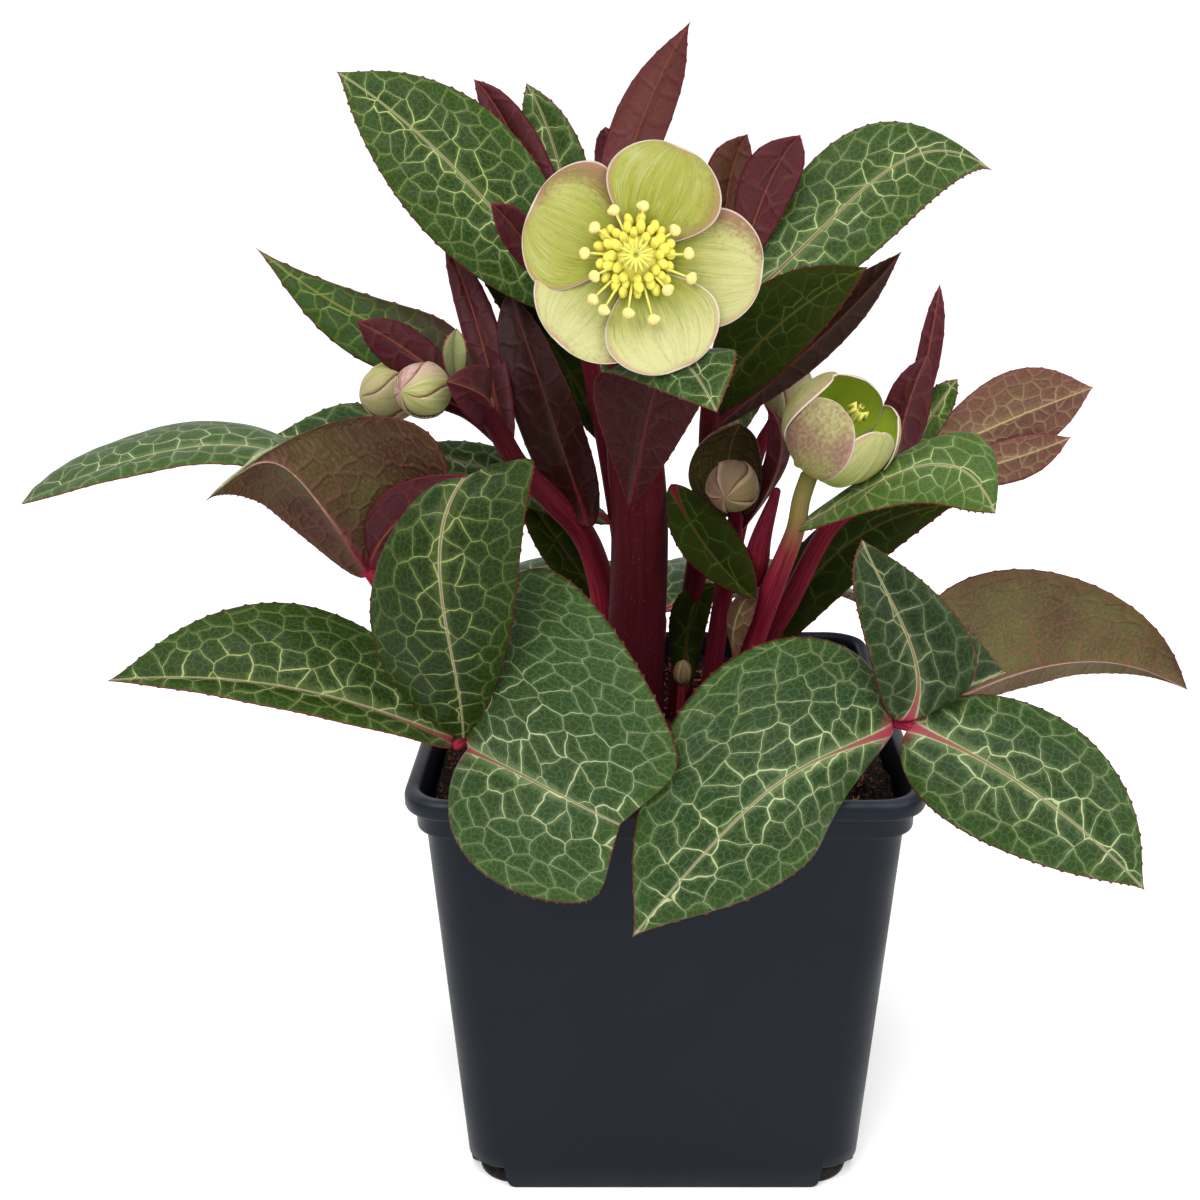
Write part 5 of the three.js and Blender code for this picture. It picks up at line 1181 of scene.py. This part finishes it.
def sepal_skin(name, low, high, dusk, streak_dark, streak_pale, blush_from=0.45, edge_pull=0.3):
    """Sepal tissue: deeper near the centre and paler towards the rim, with fine fanned streaks, a
    dusky pink blush by tone that gathers at the edge and one side, and a thin rim of pink and
    cream."""
    low, high, dusk, streak_dark, streak_pale = (
        tinted(*colour) for colour in (low, high, dusk, streak_dark, streak_pale))
    work = Finish(name, roughness=0.48, specular=0.2)
    spread, tones = work.fact("spread"), work.split(work.fact("tone"))
    u, v, margin = work.split(work.fact("share"))
    fans = []
    for along, aside in ((1.0, 9.0), (3.4, 30.0)):
        fan = work.node("CombineXYZ")
        work.feed(fan.inputs[0], work.times(u, along))
        work.feed(fan.inputs[1], work.times(v, aside))
        work.feed(fan.inputs[2], work.times(tones[1], 9.0))
        fans.append(work.noise(fan.outputs[0], 1.0, 4.0, 0.65)["Fac"])
    fold, streak = fans
    cloud = work.noise(spread, 0.09, 3.0)["Fac"]
    mottle = work.noise(spread, 0.9, 4.0, 0.7)["Fac"]
    base = work.mix(work.rise(u, 0.2, 0.85), low, high)
    # Depth of colour deepens the sepal in cloudy patches towards the centre colour; on the open flower its
    # amount on each sepal is painted shade.
    base = work.mix(work.times(work.rise(cloud, 0.0, 0.5), work.times(tones[1], 0.85)), base, low)
    base = work.mix(work.rise(fold, 0.5, 0.75, 0.0, 0.25), base, streak_dark)
    base = work.mix(work.rise(fold, 0.5, 0.25, 0.0, 0.3), base, streak_pale)
    base = work.mix(work.rise(streak, 0.46, 0.34, 0.0, 0.25), base, streak_pale)
    base = work.mix(work.rise(mottle, 0.54, 0.68, 0.0, 0.25), base, streak_dark)
    base = work.mix(work.times(work.rise(streak, 0.54, 0.68, 0.0, 0.6),
                               work.rise(u, 0.3, 0.95, 1.0, 0.3)), base, streak_dark)
    edge = work.rise(margin, 0.0, 10.0, 1.0, 0.0)
    rough = work.line(mottle, 0.7, work.times(cloud, 0.6))
    gather = work.plus(work.line(edge, edge_pull, rough), work.times(v, tones[2]))
    blush = work.times(work.rise(gather, blush_from, blush_from + 0.45), tones[0])
    base = work.mix(blush, base, dusk)
    base = work.mix(work.times(work.rise(margin, 0.2, 2.2, 0.6, 0.0), work.rise(cloud, 0.35, 0.6)),
                    base, tinted(206, 130, 128))
    base = work.mix(work.rise(margin, 0.15, 0.6, 0.95, 0.0), base, tinted(255, 240, 222))
    work.paint(base)
    work.shader.inputs["Subsurface Weight"].default_value = 0.12
    work.shader.inputs["Subsurface Radius"].default_value = (0.002, 0.002, 0.0008)
    work.relief(work.line(fold, 1.5, streak), 0.45, 0.0006)
    return work.material


def flesh(name, low, high, roughness=0.45):
    """Smooth tissue of the small flower parts: two near shades in soft clouds, slightly lucent."""
    work = Finish(name, roughness=roughness, specular=0.2)
    cloud = work.noise(work.place(), 0.7, 3.0)["Fac"]
    work.paint(work.mix(cloud, tinted(*low), tinted(*high)))
    work.shader.inputs["Subsurface Weight"].default_value = 0.1
    work.shader.inputs["Subsurface Radius"].default_value = (0.001, 0.001, 0.0004)
    work.relief(cloud, 0.2, 0.0003)
    return work.material


SEPAL = sepal_skin(
    "sepal_face", (174, 180, 44), (236, 232, 166), (158, 112, 82), (122, 138, 30), (248, 244, 196), 0.88)
SEPAL_BACK = sepal_skin(
    "sepal_back", (180, 192, 84), (226, 224, 160), (158, 104, 100), (140, 146, 64), (240, 234, 196), 0.42,
    0.05)
CUP_INSIDE = sepal_skin(
    "cup_inside", (196, 230, 30), (232, 248, 100), (168, 118, 92), (150, 184, 26), (240, 248, 140), 0.95)
NECTARY = flesh("nectary_yellow", (246, 228, 66), (304, 292, 140))
ANTHER = flesh("anther_cream", (250, 214, 116), (300, 286, 196), 0.6)
STYLE = flesh("style_lime", (232, 234, 70), (276, 270, 150))


def ball_part(middle, radii, skin, direction=(0, 0, 1), rings=7, sides=10):
    """A ball stretched to three radii, whose axis points in a direction."""
    polar = np.linspace(0.2, math.pi - 0.2, rings)[:, None]
    turn = circle(sides)[None]
    ball = np.stack([radii[0] * np.sin(polar) * np.cos(turn), radii[1] * np.sin(polar) * np.sin(turn),
                     -radii[2] * np.cos(polar) + 0 * turn], -1)
    return closed_rings(aimed(ball, middle, direction), skin)


def horn_part(path, radii, skin, rings=9, sides=8):
    """A small tapered horn carried along the curve through a path."""
    points, ways, _ = curve_through(path, rings)
    radius = np.interp(np.linspace(0, 1, rings), np.linspace(0, 1, len(radii)), radii)
    first = unit(np.cross(ways, np.array([0.31, 0.87, 0.38])))
    second = np.cross(ways, first)
    turn = circle(sides)
    rings = points[:, None] + radius[:, None, None] * ring_ways(turn, first, second)
    return closed_rings(rings, skin)


def open_sepal(direction, length, half, level, blush, depth, side, seed):
    """One flat sepal. Its face looks forward and its back is duller."""
    return sepal_sheet(direction, [(2, level), (length * 0.52, level + 0.6), (length, level + 3)], half, 0,
                       (SEPAL, SEPAL_BACK), seed, blush, depth, full=(0.75, 0.42), ripple=0.9, flush=side)


def round_foot(profile, sides):
    """A small turned disc or foot from a profile of radii and heights."""
    turn = circle(sides)
    rings = [triples(r * np.cos(turn), r * np.sin(turn), z) for r, z in profile]
    return closed_rings(np.array(rings), STYLE)


# Direction, length, half width, level, blush, depth of colour and side of the blush. The depth of
# colour is painted shade, highest on the two upper sepals, which face away from the light.
OPEN_SEPALS = ((67, 29, 15, 2.6, 0.5, 1.0, 0.3), (154, 29, 17, 1.3, 0.8, 0.9, 0.45),
               (228, 29, 16, 0, 0.7, 0.25, -0.1), (291, 30, 15, 2, 0.1, 0.1, 0),
               (353, 32, 15, 0.7, 0.9, 0.35, -0.4))
sepals = [open_sepal(*row, seed) for seed, row in enumerate(OPEN_SEPALS, 1)]
sepals.append(round_foot(((2.6, -2.5), (5, -1.2), (7, 0.5), (7.2, 2.6), (6, 3.2)), 24))
add_piece("open_flower_sepals", ["flower_sepals"],
          aim_parts(sepals, FLOWER_PLACE, FLOWER_FACING))

draw = np.random.default_rng(5)
crown = []
for ring, (count, radius, height) in enumerate(NECTARY_RINGS):
    for k in range(count):
        turn = (k + 0.5 * (ring % 2)) / count * 2 * math.pi + draw.uniform(-0.1, 0.1)
        out = radius + draw.uniform(-0.5, 0.5)
        way = np.array([math.cos(turn), math.sin(turn), 0])
        top = way * out + (0, 0, height + draw.uniform(-0.6, 0.6))
        lean = way + np.array([*draw.uniform(-0.35, 0.35, 2), draw.uniform(0.5, 1.2)])
        tube = [way * 4.6 + (0, 0, 3.4), way * (out - 0.9) + (0, 0, height - 1.4), top]
        crown.append(horn_part(tube, [0.7, 1.0, 1.2], NECTARY))
        mouth = (draw.uniform(1.05, 1.35), draw.uniform(1.3, 1.7), draw.uniform(1.3, 2.1))
        crown.append(ball_part(top, mouth, NECTARY, lean))
for x, y in ANTHER_SPOTS:
    out = math.hypot(x, y)
    way = np.array([x, y, 0]) / out
    top = np.array([x, y, 5.4 + draw.uniform(0, 1.6)])
    thread = [way * 5.4 + (0, 0, 4.0), way * out * 0.72 + (0, 0, top[2] + 0.4), top]
    crown.append(horn_part(thread, [0.42, 0.34, 0.28], STYLE, sides=6))
    crown.append(ball_part(top + (0, 0, 0.2), (1.5, 1.5, 1.15), ANTHER, (0.3 * way[0], 0.3 * way[1], 1)))
    lobe = top + np.array([-way[1], way[0], 0]) * 0.8 + (0, 0, 0.4)
    crown.append(ball_part(lobe, (1.1, 0.95, 0.95), ANTHER))
core = np.array([[(r * math.cos(a), r * math.sin(a), z) for a in circle(24)]
                 for r, z in ((7, 3.55), (6.6, 4.6), (5.2, 5.2), (3.9, 5.4))])
crown.append(closed_rings(core, NECTARY))
add_piece("open_flower_crown", ["flower_stamens"],
          aim_parts(crown, FLOWER_PLACE, FLOWER_FACING))


def style_star(base, count, reach, seed, tall=1.0, stout=1.0):
    """Styles that rise in a bundle and spread at the top like a small star. Tall and stout are
    shares of the usual height and radius."""
    pick = np.random.default_rng(seed)
    horns = [ball_part((0, 0, base + 0.6), (2.9, 2.9, 1.6), STYLE)]
    for k in range(count):
        turn = k / count * 2 * math.pi + pick.uniform(-0.06, 0.06)
        way = np.array([math.cos(turn), math.sin(turn), 0])
        path = [way * 1.5 + (0, 0, base), way * 0.9 + (0, 0, base + 2.6 * tall),
                way * reach * 0.6 + (0, 0, base + 3.7 * tall), way * reach + (0, 0, base + 3.2 * tall)]
        radii = [0.75 * stout, 0.5 * stout, 0.42 * stout, 0.28 * stout]
        horns.append(horn_part(path, radii, STYLE, rings=10))
    return horns


add_piece("open_flower_styles", ["flower_styles"],
          aim_parts(style_star(base=5.9, count=16, reach=4.3, seed=3), FLOWER_PLACE, FLOWER_FACING))

# The half-open flower: the same five sepals still cupped into a globe that is open at the top,
# lime inside, with a mauve blush outside, and its styles just showing.
HALF_PLACE = (41, -28, 217)
HALF_FACING = (0.5, -0.42, 0.72)
CUP_PROFILE = [(2, 0), (12.5, 5), (14.5, 15), (10.5, 24)]
# Direction, how far it stands out, and blush.
CUP_SEPALS = ((15, 0.6, 0.1), (88, 0, 0.2), (160, 0.6, 0.5), (232, 0, 1.0), (304, -0.6, 0.1))
cup = []
for number, (direction, swell, blush) in enumerate(CUP_SEPALS):
    cup.append(sepal_sheet(direction, [(out + swell, z) for out, z in CUP_PROFILE], 11, 3.5,
                           (CUP_INSIDE, SEPAL_BACK), 11 + number, blush, 0.6, widest=0.55,
                           full=(0.7, 0.6), bulge=-0.12, ripple=0.2))
cup_foot = round_foot(((2.2, -3), (3.4, -1), (4.6, 1.5), (4.4, 3)), 16)
add_piece("half_flower_cup", ["half_flower_sepals"],
          aim_parts(cup + [cup_foot], HALF_PLACE, HALF_FACING))
add_piece("half_flower_star", ["half_flower_styles"],
          aim_parts(style_star(base=3.6, count=5, reach=2.8, seed=7, tall=5.0, stout=2.3),
                    HALF_PLACE, HALF_FACING))

# The buds: five sepals still folded over each other into a ball with soft seams that meet in a
# point, beige green with a dusky pink flush. Each sits on the end of its own branch.
# Radius, length, place, direction, blush, brownness and side of the blush. Brownness is the bud's
# own brown, and on the small bud in the crown it is painted shade as well.
BUDS = {
    "bud_left_front": (7.7, 15.4, (-66, -30, 237), (-0.62, -0.75, 0.1), 0.9, 0.0, 4.3),
    "bud_left_rear": (8.3, 17.0, (-77, -17, 234), (-0.8, -0.3, -0.1), 0.15, 0.1, 1.7),
    "bud_rear": (7.6, 18.0, (38, 20, 228), (0.3, 0.2, 0.9), 0.3, 0.3, 2.7),
    "bud_hood": (7.4, 15.0, (19, -25, 209), (-0.3, -0.85, -0.2), 0.75, 0.9, 3.7),
    "bud_crown": (2.8, 8.0, (6, -6, 146), (0.05, -0.1, 1), 0.8, 0.9, 4.7),
}


def bud_ball(radius, length, blush, brown_and_shade, side, seed, rings=44, sides=100):
    """A ball drawn out along its axis. Five seams run from foot to point and wind slightly; next to
    each seam one sepal's edge stands over the next, so the radius has a soft step there. The way
    from seam to seam is kept as a cosine and a sine, so that it runs on across a seam."""
    polar = np.linspace(0.06, math.pi - 0.05, rings)[:, None]
    turn = circle(sides)[None]
    lap = (turn * 5 / (2 * math.pi) + 0.7 * np.sin(polar * 0.5) + 0.1 * np.sin(polar * 3 + seed)) % 1.0
    step = 0.09 * lap ** 3 + 0.02 * np.sin(math.pi * lap) - 0.04
    r = radius * np.sin(polar) ** 0.92 * (1 + step * np.sin(polar) ** 0.5)
    z = -np.cos(polar) * length / 2 + 0.35 * np.exp(-((math.pi - polar) / 0.25) ** 2)
    rings_at = np.stack([r * np.cos(turn), r * np.sin(turn), z + 0 * turn], -1)
    return closed_rings(rings_at, BUD_SKIN,
                        spread=triples(turn * 3, polar * 2 + 0 * turn, float(seed)),
                        share=triples(polar / math.pi, np.cos(2 * math.pi * lap),
                                      np.sin(2 * math.pi * lap)),
                        tone=np.broadcast_to([blush, brown_and_shade, side], (*r.shape, 3)))


def bud_skin():
    """Bud tissue: beige green, with fine streaks that run to the point, a dusky pink flush and a
    pale line along each overlapping edge."""
    work = Finish("bud_skin", roughness=0.55, specular=0.1)
    spread, tone = work.fact("spread"), work.split(work.fact("tone"))
    along, lap_cosine, lap_sine = work.split(work.fact("share"))
    lap = work.sum("FRACT", work.sum("DIVIDE", work.sum("ARCTAN2", lap_sine, lap_cosine), 2 * math.pi))
    streak = work.noise(work.vector("MULTIPLY", work.place(), (0.35, 0.35, 0.35)), 1.0, 5.0, 0.6)["Fac"]
    fan = work.noise(work.vector("MULTIPLY", spread, (2.2, 0.25, 1.0)), 1.0, 4.0, 0.6)["Fac"]
    base = work.mix(work.rise(fan, 0.3, 0.7), tinted(170, 178, 88), tinted(226, 220, 156))
    side = work.sum("COSINE", work.line(work.split(spread)[0], 1 / 3, tone[2]))
    rosy = work.times(work.rise(work.plus(side, work.times(streak, 0.8)), -0.3, 0.7), tone[0])
    base = work.mix(work.times(rosy, work.rise(along, 0.15, 0.6)), base, tinted(234, 212, 192))
    flush = work.times(work.rise(work.plus(streak, work.times(along, 0.35)), 0.5, 0.9, 0.0, 0.7), rosy)
    base = work.mix(flush, base, tinted(212, 146, 140))
    # Brownness: the bud's own beige brown, and painted shade on the small bud down in the crown.
    base = work.mix(work.times(tone[1], 0.9), base, tinted(112, 84, 58))
    base = work.mix(work.times(work.rise(fan, 0.5, 0.6, 0.0, 0.8), rosy), base, tinted(142, 64, 76))
    base = work.mix(work.times(work.rise(streak, 0.5, 0.6, 0.0, 0.5), tone[1]), base, tinted(146, 124, 84))
    base = work.mix(work.rise(lap, 0.0, 0.16, 1.0, 0.0), base, tinted(112, 50, 50))
    base = work.mix(work.rise(lap, 0.75, 0.92, 0.0, 0.3), base, tinted(230, 206, 176))
    work.paint(base)
    work.relief(fan, 0.25, 0.0004)
    return work.material


BUD_SKIN = bud_skin()
for number, (node, (radius, length, place, facing, blush, brown_and_shade, side)) in enumerate(BUDS.items()):
    parts = [bud_ball(radius, length, blush, brown_and_shade, side, number)]
    if node == "bud_crown":
        parts.append(stem_tube([(0, 0, -40), (0, 0, -20), (0, 0, -3)], [1.4, 1.3, 1.2], STEM_SKIN,
                               tones=(0.5, 0.5), seed=9))
    add_piece(node + "_closed", [node], aim_parts(parts, place, facing))
